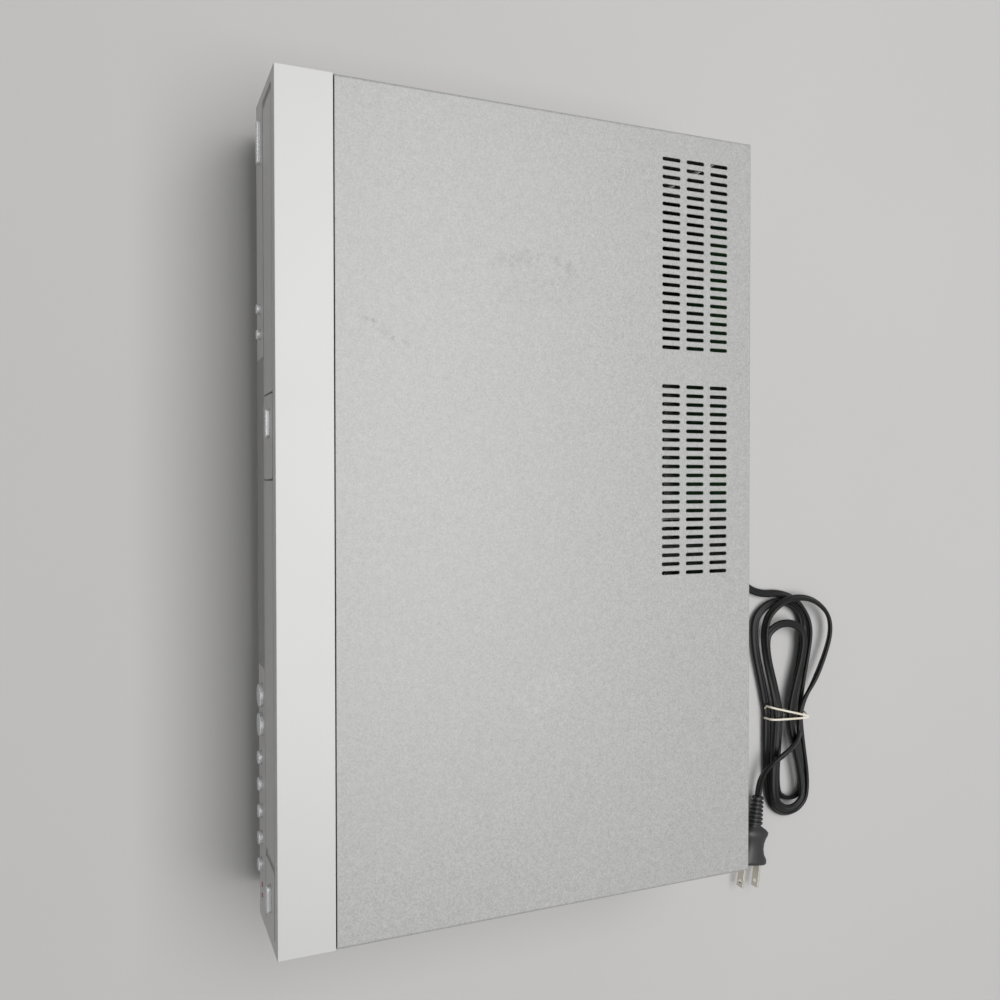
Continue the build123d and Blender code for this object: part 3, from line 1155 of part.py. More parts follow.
with BuildPart() as capstan_stator:
    with BuildSketch(Plane.XY.offset(DECK_PLATE_Z)):
        with Locations((CAPSTAN_X, CAPSTAN_Y)):
            Circle(STATOR_RADIUS)
            Circle(STATOR_BORE_RADIUS, mode=Mode.SUBTRACT)
    extrude(amount=-STATOR_SHEET)
save(capstan_stator.part, "capstan_stator")

# ---------------------------------------------------------------- tape guides and pinch roller
CARRIAGE_SIZE = 12.0
CARRIAGE_HEIGHT = 4.0
GUIDE_DIAMETER = 5.0
GUIDE_TOP = 57.0
CARRIAGE_CORNER = 2.0
GUIDE_PIN_DROP = 1.0  # under the deck plate
PINCH_ARM_WIDTH = 7.0
PINCH_ARM_SHEET = 2.0
PINCH_HUB_RADIUS = 4.5
PINCH_HUB_HEIGHT = 14.0
ROLLER_PIN_RADIUS = 1.5
ROLLER_PIN_HEIGHT = 17.0
ROLLER_RADIUS = 7.0
ROLLER_HEIGHT = 14.0


def tape_guide(side):
    """A carriage with its roller post, and the pin that runs in the deck's slot."""
    x = DECK_X + side * GUIDE_START[0]
    y = GUIDE_START[1]
    carriage_z = deck_top + SEAT_GAP
    with BuildPart() as guide:
        with BuildSketch(Plane.XY.offset(carriage_z)):
            with Locations((x, y)):
                RectangleRounded(CARRIAGE_SIZE, CARRIAGE_SIZE, CARRIAGE_CORNER)
        extrude(amount=CARRIAGE_HEIGHT)
        with BuildSketch(Plane.XY.offset(DECK_PLATE_Z - GUIDE_PIN_DROP)):
            with Locations((x, y)):
                Circle(GUIDE_SLOT / 2 - RUNNING_GAP)
        extrude(amount=carriage_z - DECK_PLATE_Z + GUIDE_PIN_DROP)
        with BuildSketch(Plane.XY.offset(carriage_z + CARRIAGE_HEIGHT)):
            with Locations((x, y)):
                Circle(GUIDE_DIAMETER / 2)
        extrude(amount=GUIDE_TOP - carriage_z - CARRIAGE_HEIGHT)
    return guide.part


save(tape_guide(-1), "supply_guide")
save(tape_guide(1), "takeup_guide")

with BuildPart() as pinch_arm:
    pinch_z = deck_top + SEAT_GAP
    arm = (PINCH_ROLLER[0] - PINCH_PIVOT[0], PINCH_ROLLER[1] - PINCH_PIVOT[1])
    with BuildSketch(Plane.XY.offset(pinch_z)):
        with Locations(((PINCH_PIVOT[0] + PINCH_ROLLER[0]) / 2, (PINCH_PIVOT[1] + PINCH_ROLLER[1]) / 2)):
            SlotCenterToCenter(hypot(*arm), PINCH_ARM_WIDTH, rotation=degrees(atan2(arm[1], arm[0])))
    extrude(amount=PINCH_ARM_SHEET)
    with BuildSketch(Plane.XY.offset(pinch_z)):
        with Locations(PINCH_PIVOT):
            Circle(PINCH_HUB_RADIUS)
    extrude(amount=PINCH_HUB_HEIGHT)
    with BuildSketch(Plane.XY.offset(pinch_z + PINCH_ARM_SHEET)):
        with Locations(PINCH_ROLLER):
            Circle(ROLLER_PIN_RADIUS)
    extrude(amount=ROLLER_PIN_HEIGHT)
    with BuildSketch(Plane.XY.offset(pinch_z)):
        with Locations(PINCH_PIVOT):
            Circle(PINCH_PIN / 2 + RUNNING_GAP)
    extrude(amount=PINCH_PIN_HEIGHT, mode=Mode.SUBTRACT)
save(pinch_arm.part, "pinch_arm")

with BuildPart() as pinch_roller:
    with BuildSketch(Plane.XY.offset(pinch_z + PINCH_ARM_SHEET + SEAT_GAP)):
        with Locations(PINCH_ROLLER):
            Circle(ROLLER_RADIUS)
            Circle(ROLLER_PIN_RADIUS + RUNNING_GAP, mode=Mode.SUBTRACT)
    extrude(amount=ROLLER_HEIGHT)
save(pinch_roller.part, "pinch_roller")

# ---------------------------------------------------------------- boards on the base pan
def circuit_board(board):
    """A flat board on its four bosses."""
    (x0, y0), (x1, y1) = board
    return span((x0, y0, BOARD_Z), (x1, y1, BOARD_TOP))


SHIELD_PLACE = (-147.0, 90.0)
SHIELD_SIZE = (44.0, 36.0, 9.0)
TRANSFORMER_PLACE = (-41.0, 96.0)
CORE_SIZE = (30.0, 20.0, 26.0)
COIL_SIZE = (22.0, 30.0, 16.0)
COIL_LIFT = 5.0
BOARD_CUT_MARGIN = 4.0  # round the deck's leg that stands through a board
CAPACITORS = (  # x, y, radius, height
    (-76.0, 78.0, 9.0, 30.0),
    (-4.0, 72.0, 5.0, 20.0),
    (10.0, 72.0, 5.0, 20.0),
    (-76.0, 104.0, 6.5, 18.0),
)
SINK_PLACE = (6.0, 100.0)
SINK_SIZE = (3.0, 40.0, 34.0)
FIN_COUNT = 6
FIN_PITCH = 6.8
FIN_SIZE = (5.0, 1.2, 30.0)
FIN_LIFT = 4.0
FIRST_FIN = (10.0, 83.0)

with BuildPart() as circuit_boards:
    for board in BOARDS:
        add(circuit_board(board))
    with BuildSketch(Plane.XY.offset(BOARD_Z)):
        with Locations(DECK_LEGS[3]):
            Rectangle(LEG_WIDTH + BOARD_CUT_MARGIN, DECK_SHEET + BOARD_CUT_MARGIN)
    extrude(amount=BOARD_SHEET, mode=Mode.SUBTRACT)
    add(slab((*SHIELD_PLACE, BOARD_TOP), SHIELD_SIZE))
save(circuit_boards.part, "circuit_boards")

with BuildPart() as power_parts:
    add(slab((*TRANSFORMER_PLACE, BOARD_TOP), CORE_SIZE))
    add(slab((*TRANSFORMER_PLACE, BOARD_TOP + COIL_LIFT), COIL_SIZE))
    for x, y, radius, tall in CAPACITORS:
        with Locations((x, y, BOARD_TOP)):
            Cylinder(radius, tall, align=(Align.CENTER, Align.CENTER, Align.MIN))
    add(slab((*SINK_PLACE, BOARD_TOP), SINK_SIZE))
    for index in range(FIN_COUNT):
        fin_y = FIRST_FIN[1] + index * FIN_PITCH
        add(slab((FIRST_FIN[0], fin_y, BOARD_TOP + FIN_LIFT), FIN_SIZE))
save(power_parts.part, "power_parts")

# ---------------------------------------------------------------- rear panel and sockets
RCA_PITCH = 14.0
RCA_DIAMETER = 8.3
RCA_PROUD = 9.0
VCR_JACKS = [(66.0 + RCA_PITCH * column, z) for column in range(3) for z in (26.0, 42.0)]
DVD_JACKS = [(-190.0 + RCA_PITCH * column, 26.0) for column in range(4)]
SVIDEO_X = -118.0
SVIDEO_Z = 26.0
SVIDEO_DIAMETER = 11.0
SVIDEO_PROUD = 2.0
AERIAL_X = 193.0
AERIAL_Z = (26.0, 45.0)
AERIAL_DIAMETER = 9.5
TUNER_HALF = 15.0
SOCKET_GAP = 0.5
SOCKET_DEPTH = 14.0
SOCKET_BORE_SHARE = 0.2  # of a barrel's diameter
SOCKET_BORE_DEPTH = 4.0  # behind the panel's face
VCR_BLOCK = (58.0, 102.0, 50.0)  # left, right, top
DVD_BLOCK = (-198.0, -140.0, 34.0)
SVIDEO_BLOCK = (-127.0, -109.0, 34.0)
TUNER_DEPTH = 50.0
TUNER_TOP = 55.0
AERIAL_BORE_RADIUS = 1.2
AERIAL_BORE_DEPTH = 8.0
PANEL_SIDE_GAP = 0.2
PANEL_TOP = HEIGHT - COVER_SHEET
panel_inner_y = PANEL_FACE_Y - PANEL_SHEET
GLAND_BORE = 9.0


def rear_plane(y):
    """A plane at y seen from behind; its +X is the player's -X."""
    return Plane((0, y, 0), x_dir=(-1, 0, 0), z_dir=(0, 1, 0))


with BuildPart() as rear_panel:
    with BuildSketch(rear_plane(panel_inner_y)):
        with Locations((0, (PAN_TOP + PANEL_TOP) / 2)):
            Rectangle(2 * (COVER_INNER - PAN_SHEET - PANEL_SIDE_GAP), PANEL_TOP - PAN_TOP)
        with Locations(*[(-x, z) for x, z in VCR_JACKS + DVD_JACKS]):
            Circle(RCA_DIAMETER / 2 + SOCKET_GAP, mode=Mode.SUBTRACT)
        with Locations((-SVIDEO_X, SVIDEO_Z)):
            Circle(SVIDEO_DIAMETER / 2 + SOCKET_GAP, mode=Mode.SUBTRACT)
        with Locations(*[(-AERIAL_X, z) for z in AERIAL_Z]):
            Circle(AERIAL_DIAMETER / 2 + SOCKET_GAP, mode=Mode.SUBTRACT)
        with Locations((-CORD_EXIT_X, CORD_EXIT_Z)):
            Circle(GLAND_BORE / 2, mode=Mode.SUBTRACT)
    extrude(amount=PANEL_SHEET)
    add(screw_holes(), mode=Mode.SUBTRACT)
save(rear_panel.part, "rear_panel")


def jack_block(block_sides, places, diameter, proud):
    """A socket block behind the panel, with its barrels through it."""
    left, right, top = block_sides
    with BuildPart() as block:
        add(span((left, panel_inner_y - SOCKET_DEPTH, BOARD_TOP), (right, panel_inner_y, top)))
        with BuildSketch(rear_plane(panel_inner_y)):
            with Locations(*[(-x, z) for x, z in places]):
                Circle(diameter / 2)
        extrude(amount=PANEL_SHEET + proud)
        with BuildSketch(rear_plane(PANEL_FACE_Y + proud)):
            with Locations(*[(-x, z) for x, z in places]):
                Circle(diameter * SOCKET_BORE_SHARE)
        extrude(amount=-(proud + SOCKET_BORE_DEPTH), mode=Mode.SUBTRACT)
    return block.part


with BuildPart() as rear_jacks:
    add(jack_block(VCR_BLOCK, VCR_JACKS, RCA_DIAMETER, RCA_PROUD))
    add(jack_block(DVD_BLOCK, DVD_JACKS, RCA_DIAMETER, RCA_PROUD))
    add(jack_block(SVIDEO_BLOCK, [(SVIDEO_X, SVIDEO_Z)], SVIDEO_DIAMETER, SVIDEO_PROUD))
save(rear_jacks.part, "rear_jacks")

with BuildPart() as tuner_module:
    tuner_low = (AERIAL_X - TUNER_HALF, panel_inner_y - TUNER_DEPTH, BOARD_TOP)
    add(span(tuner_low, (AERIAL_X + TUNER_HALF, panel_inner_y, TUNER_TOP)))
    with BuildSketch(rear_plane(panel_inner_y)):
        with Locations(*[(-AERIAL_X, z) for z in AERIAL_Z]):
            Circle(AERIAL_DIAMETER / 2)
    extrude(amount=REAR_REACH - panel_inner_y)
    with BuildSketch(rear_plane(REAR_REACH)):
        with Locations(*[(-AERIAL_X, z) for z in AERIAL_Z]):
            Circle(AERIAL_BORE_RADIUS)
    extrude(amount=-AERIAL_BORE_DEPTH, mode=Mode.SUBTRACT)
save(tuner_module.part, "tuner_module")

# ---------------------------------------------------------------- mains cord
GLAND_FLANGE = 15.0
GLAND_FLANGE_THICKNESS = 2.0
GLAND_NOSE = 12.0
GLAND_RIBS = 4
GLAND_RIB_PITCH = 2.6
GLAND_RIB_START = 0.8
GLAND_RIB_WIDTH = 1.4
GLAND_RIB_RADIUS = 4.6  # the first rib; each one further out is a little smaller
GLAND_RIB_TAPER = 0.2
GLAND_CORE_RADIUS = 3.4
GLAND_TAIL = 6.0  # inside the case
exit_y = PANEL_FACE_Y + GLAND_FLANGE_THICKNESS + GLAND_NOSE

with BuildPart() as strain_relief:
    with Locations(Plane((CORD_EXIT_X, 0, CORD_EXIT_Z), x_dir=(-1, 0, 0), z_dir=(0, 1, 0))):
        with Locations((0, 0, panel_inner_y - GLAND_TAIL)):
            through = GLAND_TAIL + 2 * PANEL_SHEET
            Cylinder(GLAND_BORE / 2 - RUNNING_GAP, through, align=(Align.CENTER, Align.CENTER, Align.MIN))
        with Locations((0, 0, PANEL_FACE_Y)):
            Cylinder(GLAND_FLANGE / 2, GLAND_FLANGE_THICKNESS, align=(Align.CENTER, Align.CENTER, Align.MIN))
        with Locations((0, 0, PANEL_FACE_Y + GLAND_FLANGE_THICKNESS)):
            Cylinder(GLAND_CORE_RADIUS, GLAND_NOSE, align=(Align.CENTER, Align.CENTER, Align.MIN))
        first_rib = PANEL_FACE_Y + GLAND_FLANGE_THICKNESS + GLAND_RIB_START
        for index in range(GLAND_RIBS):
            with Locations((0, 0, first_rib + index * GLAND_RIB_PITCH)):
                rib_radius = GLAND_RIB_RADIUS - GLAND_RIB_TAPER * index
                Cylinder(rib_radius, GLAND_RIB_WIDTH, align=(Align.CENTER, Align.CENTER, Align.MIN))
save(strain_relief.part, "strain_relief")

# the hank: seven passes beside each other in two layers, drawn in at the waist
LEFT_END_X = 99.0
RIGHT_END_X = 202.0
PASS_STEP = 3.2
INNER_OFFSET = 12.0
WAIST_OFFSETS = (5.2, 12.0)
LEFT_SPREAD = 1.4
HANK_END_Y = 3.0  # the ends lie further back than the waist
PASSES = (  # side, whole steps out from the innermost, layer at its left and right end
    (1, 3, 0, 0),
    (-1, 2, 0, 0),
    (1, 1, 0, 0),
    (-1, 0, 1, 0),
    (1, 1, 1, 1),
    (-1, 2, 1, 1),
    (1, 3, 1, 1),
)


def pass_points(side, steps, left_layer, right_layer):
    """Left end, waist and right end of one pass of the hank."""
    reach = INNER_OFFSET + PASS_STEP * steps
    waist = WAIST_OFFSETS[1 if steps >= 2 else 0]
    left = (LEFT_END_X, HANK_Y + HANK_END_Y + side * reach * LEFT_SPREAD, HANK_Z + HANK_LAYER * left_layer)
    waist_layer = (left_layer + right_layer) / 2
    middle = (HANK_X, HANK_Y + side * waist, HANK_Z + HANK_LAYER * waist_layer)
    right = (RIGHT_END_X, HANK_Y + HANK_END_Y + side * reach, HANK_Z + HANK_LAYER * right_layer)
    return left, middle, right


WAIST_HALF = 6.0  # straight under the band
TAIL_START_X = HANK_X + WAIST_HALF + CORD_DIAMETER


def ease(start, end):
    """Two equal arcs that carry a pass sideways between two places where it runs along X."""
    start, end = Vector(*start), Vector(*end)
    middle = (start + end) / 2
    heading = Vector(1 if end.X > start.X else -1, 0, 0)
    first = TangentArc(start, middle, tangent=heading)
    TangentArc(end, middle, tangent=-heading)
    return first


def half_turn(start, end, bulge):
    """A half circle between two ends at the same x."""
    start, end = Vector(*start), Vector(*end)
    middle = (start + end) / 2
    radius = (end - start).length / 2
    ThreePointArc(start, middle + Vector(bulge * radius, 0, 0), end)
    return radius


hank_radii = []
with BuildLine() as hank_line:
    forward = True
    last = None
    for number, one_pass in enumerate(PASSES):
        left, middle, right = pass_points(*one_pass)
        waist_in = (HANK_X - WAIST_HALF, middle[1], middle[2])
        waist_out = (HANK_X + WAIST_HALF, middle[1], middle[2])
        if forward:
            if last is not None:
                hank_radii.append(half_turn(last, left, -1))
            else:
                Line((left[0] - CORD_DIAMETER, left[1], left[2]), left)
            ease(left, waist_in)
            if number == len(PASSES) - 1:
                Line(waist_in, (TAIL_START_X, middle[1], middle[2]))
                last = (TAIL_START_X, middle[1], middle[2])
            else:
                Line(waist_in, waist_out)
                ease(waist_out, right)
                last = right
        else:
            hank_radii.append(half_turn(last, right, 1))
            ease(right, waist_out)
            Line(waist_out, waist_in)
            ease(waist_in, left)
            last = left
        forward = not forward
hank_wire = Wire(hank_line.edges())
hank_start = pass_points(*PASSES[0])[0]
hank_end = last
print(f"hank length {hank_wire.length:.1f} mm, half turns {[round(r, 1) for r in hank_radii]}")


def least_self_gap(wire, diameter):
    """Smallest surface gap between stretches of a tube that aren't neighbours along it."""
    count = int(wire.length / 2.5)
    step = wire.length / count
    points = [wire @ (index / count) for index in range(count + 1)]
    apart = int(3 * diameter / step) + 1
    least = min(
        (points[one] - points[two]).length
        for one in range(len(points))
        for two in range(one + apart, len(points))
    )
    return least - diameter


def rounded_route(points):
    """Straight runs joined by arcs, each as large as its two runs allow."""
    vectors = [Vector(*point) for point in points]
    radii = []
    for before, corner, after in zip(vectors, vectors[1:], vectors[2:]):
        turn = radians((corner - before).get_angle(after - corner))
        shorter = min((corner - before).length, (after - corner).length)
        radii.append(0.45 * shorter / tan(turn / 2))
    with BuildLine() as line:
        FilletPolyline(*vectors, radius=radii)
    print(f"  runs {[round((b - a).length, 1) for a, b in zip(vectors, vectors[1:])]}")
    print(f"  radii {[round(radius, 1) for radius in radii]}")
    return Wire(line.edges())


def cord_tube(wire):
    """The round tube that follows a route."""
    with BuildPart() as tube:
        with BuildSketch(Plane(wire @ 0, z_dir=wire % 0)) as section:
            Circle(CORD_DIAMETER / 2)
        sweep(section.sketch, path=wire)
    expected = pi * (CORD_DIAMETER / 2) ** 2 * wire.length
    print(f"  length {wire.length:.1f} mm, volume {tube.part.volume:.0f} of {expected:.0f}")
    return tube.part


print("hank: least self gap", round(least_self_gap(hank_wire, CORD_DIAMETER), 2), "mm")
save(cord_tube(hank_wire), "cord_hank")

# the lead lies on the surface behind the player and goes round the outside of the hank's loops
LEAD_REST_Z = 3.0
lead_end = (hank_start[0] - CORD_DIAMETER, hank_start[1], hank_start[2])
LEAD_POINTS = (
    (CORD_EXIT_X, exit_y, CORD_EXIT_Z),
    (CORD_EXIT_X, exit_y + 11.0, CORD_EXIT_Z),
    (13.0, 169.5, 24.5),
    (17.5, 181.5, 14.5),
    (27.0, 192.0, 6.5),
    (40.0, 200.0, 3.2),
    (50.5, 210.5, LEAD_REST_Z),
    (55.5, 225.0, LEAD_REST_Z),
    (56.0, 241.0, LEAD_REST_Z),
    (60.5, 256.5, LEAD_REST_Z),
    (lead_end[0] - 19.5, lead_end[1] - 4.5, 3.4),
    (lead_end[0] - 9.0, *lead_end[1:]),
    lead_end,
)
print("lead")
lead_wire = rounded_route(LEAD_POINTS)
save(cord_tube(lead_wire), "cord_lead")

PLUG_X = 207.5
PLUG_Y = 209.2
PLUG_Z = 8.0
PLUG_ANGLE = -8.0
plug_heading = Vector(cos(radians(PLUG_ANGLE)), sin(radians(PLUG_ANGLE)), 0)
TAIL_POINTS = (
    hank_end,
    (hank_end[0] + 6.0, *hank_end[1:]),
    (hank_end[0] + 12.5, 249.2, 13.7),
    (hank_end[0] + 19.5, 244.5, 17.0),
    (hank_end[0] + 23.5, 236.0, 17.6),
    (hank_end[0] + 25.0, 226.5, 17.6),
    (hank_end[0] + 28.5, 217.5, 15.6),
    (PLUG_X - 9.0 * plug_heading.X, PLUG_Y - 9.0 * plug_heading.Y, PLUG_Z),
    (PLUG_X, PLUG_Y, PLUG_Z),
)
print("tail")
tail_wire = rounded_route(TAIL_POINTS)
save(cord_tube(tail_wire), "cord_tail")

with BuildPart() as rubber_band:
    inner_width = 2 * WAIST_OFFSETS[1] + CORD_DIAMETER + 2 * BAND_SIDE_GAP
    inner_height = HANK_LAYER + CORD_DIAMETER + 2 * BAND_TOP_GAP
    band_middle = HANK_Z + HANK_LAYER / 2
    with BuildSketch(Plane.YZ.offset(HANK_X - BAND_WIDTH / 2)):
        with Locations((HANK_Y, band_middle)):
            outer_corner = CORD_DIAMETER / 2 + BAND_THICKNESS
            RectangleRounded(inner_width + 2 * BAND_THICKNESS, inner_height + 2 * BAND_THICKNESS, outer_corner)
            RectangleRounded(inner_width, inner_height, CORD_DIAMETER / 2, mode=Mode.SUBTRACT)
    extrude(amount=BAND_WIDTH)
save(rubber_band.part, "rubber_band")

# the plug, lying on its side; its own plane has +Z along the cord
PLUG_NOSE_LENGTH = 22.0
PLUG_BODY_LENGTH = 25.0
BLADE_LENGTH = 17.0
BLADE_WIDTH = 6.35
BLADE_THICKNESS = 1.5
BLADE_SPREAD = 12.7
BLADE_HOLE_RADIUS = 1.6
BLADE_HOLE_SETBACK = 4.0
PLUG_CORNER = 2.8
plug_plane = Plane(Vector(PLUG_X, PLUG_Y, PLUG_Z), x_dir=Vector(0, 0, 1), z_dir=plug_heading)

with BuildPart() as plug_body:
    sections = (  # distance along the plug, height, width
        (0.0, 7.0, 7.5),
        (PLUG_NOSE_LENGTH, 9.0, 13.0),
        (PLUG_NOSE_LENGTH + 3.0, 13.0, 24.0),
        (PLUG_NOSE_LENGTH + 8.0, 12.0, 19.0),
        (PLUG_NOSE_LENGTH + PLUG_BODY_LENGTH - 6.0, 13.0, 21.0),
        (PLUG_NOSE_LENGTH + PLUG_BODY_LENGTH - 2.0, 15.0, 25.0),
        (PLUG_NOSE_LENGTH + PLUG_BODY_LENGTH, 15.0, 25.0),
    )
    for reach, tall, wide in sections:
        with BuildSketch(plug_plane.offset(reach)):
            RectangleRounded(tall, wide, PLUG_CORNER)
    loft(ruled=True)
save(plug_body.part, "plug_body")

with BuildPart() as plug_blades:
    for side in (-1, 1):
        with BuildSketch(plug_plane.offset(PLUG_NOSE_LENGTH + PLUG_BODY_LENGTH)):
            with Locations((0, side * BLADE_SPREAD / 2)):
                Rectangle(BLADE_WIDTH, BLADE_THICKNESS)
        extrude(amount=BLADE_LENGTH)
    blade_face = Plane(plug_plane.origin, x_dir=plug_heading, z_dir=plug_plane.y_dir)
    with BuildSketch(blade_face):
        with Locations((PLUG_NOSE_LENGTH + PLUG_BODY_LENGTH + BLADE_LENGTH - BLADE_HOLE_SETBACK, 0)):
            Circle(BLADE_HOLE_RADIUS)
    extrude(amount=BLADE_SPREAD, both=True, mode=Mode.SUBTRACT)
save(plug_blades.part, "plug_blades")
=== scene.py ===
"""A disc and cassette combination player on a pale floor, seen from above its front edge.

Metres, in the CAD's own frame: +X to the right of someone facing the front, +Y to the rear, +Z up.
"""

from __future__ import annotations

import json
import logging
from dataclasses import dataclass, field
from enum import Enum
from math import cos, pi, radians, sin
from typing import Mapping, Sequence, Union

import bmesh
import bpy
from mathutils import Matrix, Vector

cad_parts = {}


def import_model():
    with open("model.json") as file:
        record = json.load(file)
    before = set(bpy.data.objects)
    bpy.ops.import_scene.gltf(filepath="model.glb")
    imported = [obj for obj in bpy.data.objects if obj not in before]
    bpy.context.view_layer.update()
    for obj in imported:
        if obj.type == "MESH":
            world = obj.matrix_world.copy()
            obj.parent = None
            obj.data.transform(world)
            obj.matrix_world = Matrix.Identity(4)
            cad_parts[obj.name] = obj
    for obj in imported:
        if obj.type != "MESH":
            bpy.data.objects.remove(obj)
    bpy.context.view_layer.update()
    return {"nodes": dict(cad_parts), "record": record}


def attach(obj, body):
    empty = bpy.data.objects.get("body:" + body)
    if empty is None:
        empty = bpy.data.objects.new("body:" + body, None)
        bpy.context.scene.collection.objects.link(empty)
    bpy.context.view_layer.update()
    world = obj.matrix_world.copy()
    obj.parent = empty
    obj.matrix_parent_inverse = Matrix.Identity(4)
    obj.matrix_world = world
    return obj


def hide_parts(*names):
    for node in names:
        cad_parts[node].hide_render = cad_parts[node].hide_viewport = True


LOG = logging.getLogger("player")
MM = 0.001
BEVEL_SAMPLES = 4
EDGE_FADE = 0.0002

Colour = tuple[float, float, float]
Point = tuple[float, float, float]
Pair = tuple[float, float]
Box = tuple[Point, Point]


def shade(red: float, green: float, blue: float) -> Colour:
    """A linear colour from the 0 to 255 values that a screen shows."""

    def linear(value: float) -> float:
        """One channel."""
        part = value / 255
        return part / 12.92 if part <= 0.04045 else ((part + 0.055) / 1.055) ** 2.4

    return (linear(red), linear(green), linear(blue))


def metres(*sizes: float) -> tuple[float, ...]:
    """Millimetres as metres."""
    return tuple(size * MM for size in sizes)


# ---------------------------------------------------------------- shader nodes


class Signal:
    """A number, colour or vector that runs between shader nodes; arithmetic on it adds nodes."""

    def __init__(self, shader: "NodeBench", socket: bpy.types.NodeSocket) -> None:
        """Wrap one output socket of a node tree."""
        self.shader = shader
        self.socket = socket

    def _math(self, operation: str, *values: "Value") -> "Signal":
        """A Math node on these values."""
        node = self.shader.node("ShaderNodeMath", {"operation": operation}, dict(enumerate(values)))
        return Signal(self.shader, node.outputs[0])

    def __add__(self, other: "Value") -> "Signal":
        """Sum."""
        return self._math("ADD", self, other)

    def __sub__(self, other: "Value") -> "Signal":
        """Difference."""
        return self._math("SUBTRACT", self, other)

    def __rsub__(self, other: "Value") -> "Signal":
        """Difference from a number."""
        return self._math("SUBTRACT", other, self)

    def __mul__(self, other: "Value") -> "Signal":
        """Product."""
        return self._math("MULTIPLY", self, other)

    def __truediv__(self, other: "Value") -> "Signal":
        """Quotient."""
        return self._math("DIVIDE", self, other)

    __radd__ = __add__
    __rmul__ = __mul__

    def larger(self, other: "Value") -> "Signal":
        """The larger of two values."""
        return self._math("MAXIMUM", self, other)

    def distance(self) -> "Signal":
        """The value without its sign."""
        return self._math("ABSOLUTE", self)

    def ramp(self, low: float, high: float) -> "Signal":
        """A smooth rise from 0 at low to 1 at high."""
        settings = {"interpolation_type": "SMOOTHSTEP", "clamp": True}
        values = {0: self, 1: low, 2: high, 3: 0.0, 4: 1.0}
        return Signal(self.shader, self.shader.node("ShaderNodeMapRange", settings, values).outputs[0])


Value = Union[Signal, float, Sequence[float]]


class NodeBench:
    """A node tree, and the one way in which nodes are added to it."""

    def __init__(self, owner: Union[bpy.types.Material, bpy.types.World]) -> None:
        """Empty the owner's node tree."""
        owner.use_nodes = True
        self.tree = owner.node_tree
        self.tree.nodes.clear()

    def node(
        self,
        kind: str,
        settings: Mapping[str, object] | None = None,
        values: Mapping[Union[str, int], Value] | None = None,
    ) -> bpy.types.Node:
        """Add a node.

        Args:
            kind: The node's type.
            settings: Its properties, set before its sockets.
            values: What its input sockets hold, or the signals linked to them.

        Returns:
            The new node.
        """
        made = self.tree.nodes.new(kind)
        for key, setting in (settings or {}).items():
            setattr(made, key, setting)
        for key, value in (values or {}).items():
            if isinstance(value, Signal):
                self.tree.links.new(value.socket, made.inputs[key])
            elif isinstance(value, (int, float)):
                made.inputs[key].default_value = value
            else:
                wanted = len(made.inputs[key].default_value)
                made.inputs[key].default_value = (*value, 1.0)[:wanted]
        return made

    def signal(self, node: bpy.types.Node, socket: Union[str, int] = 0) -> Signal:
        """One of a node's outputs."""
        return Signal(self, node.outputs[socket])


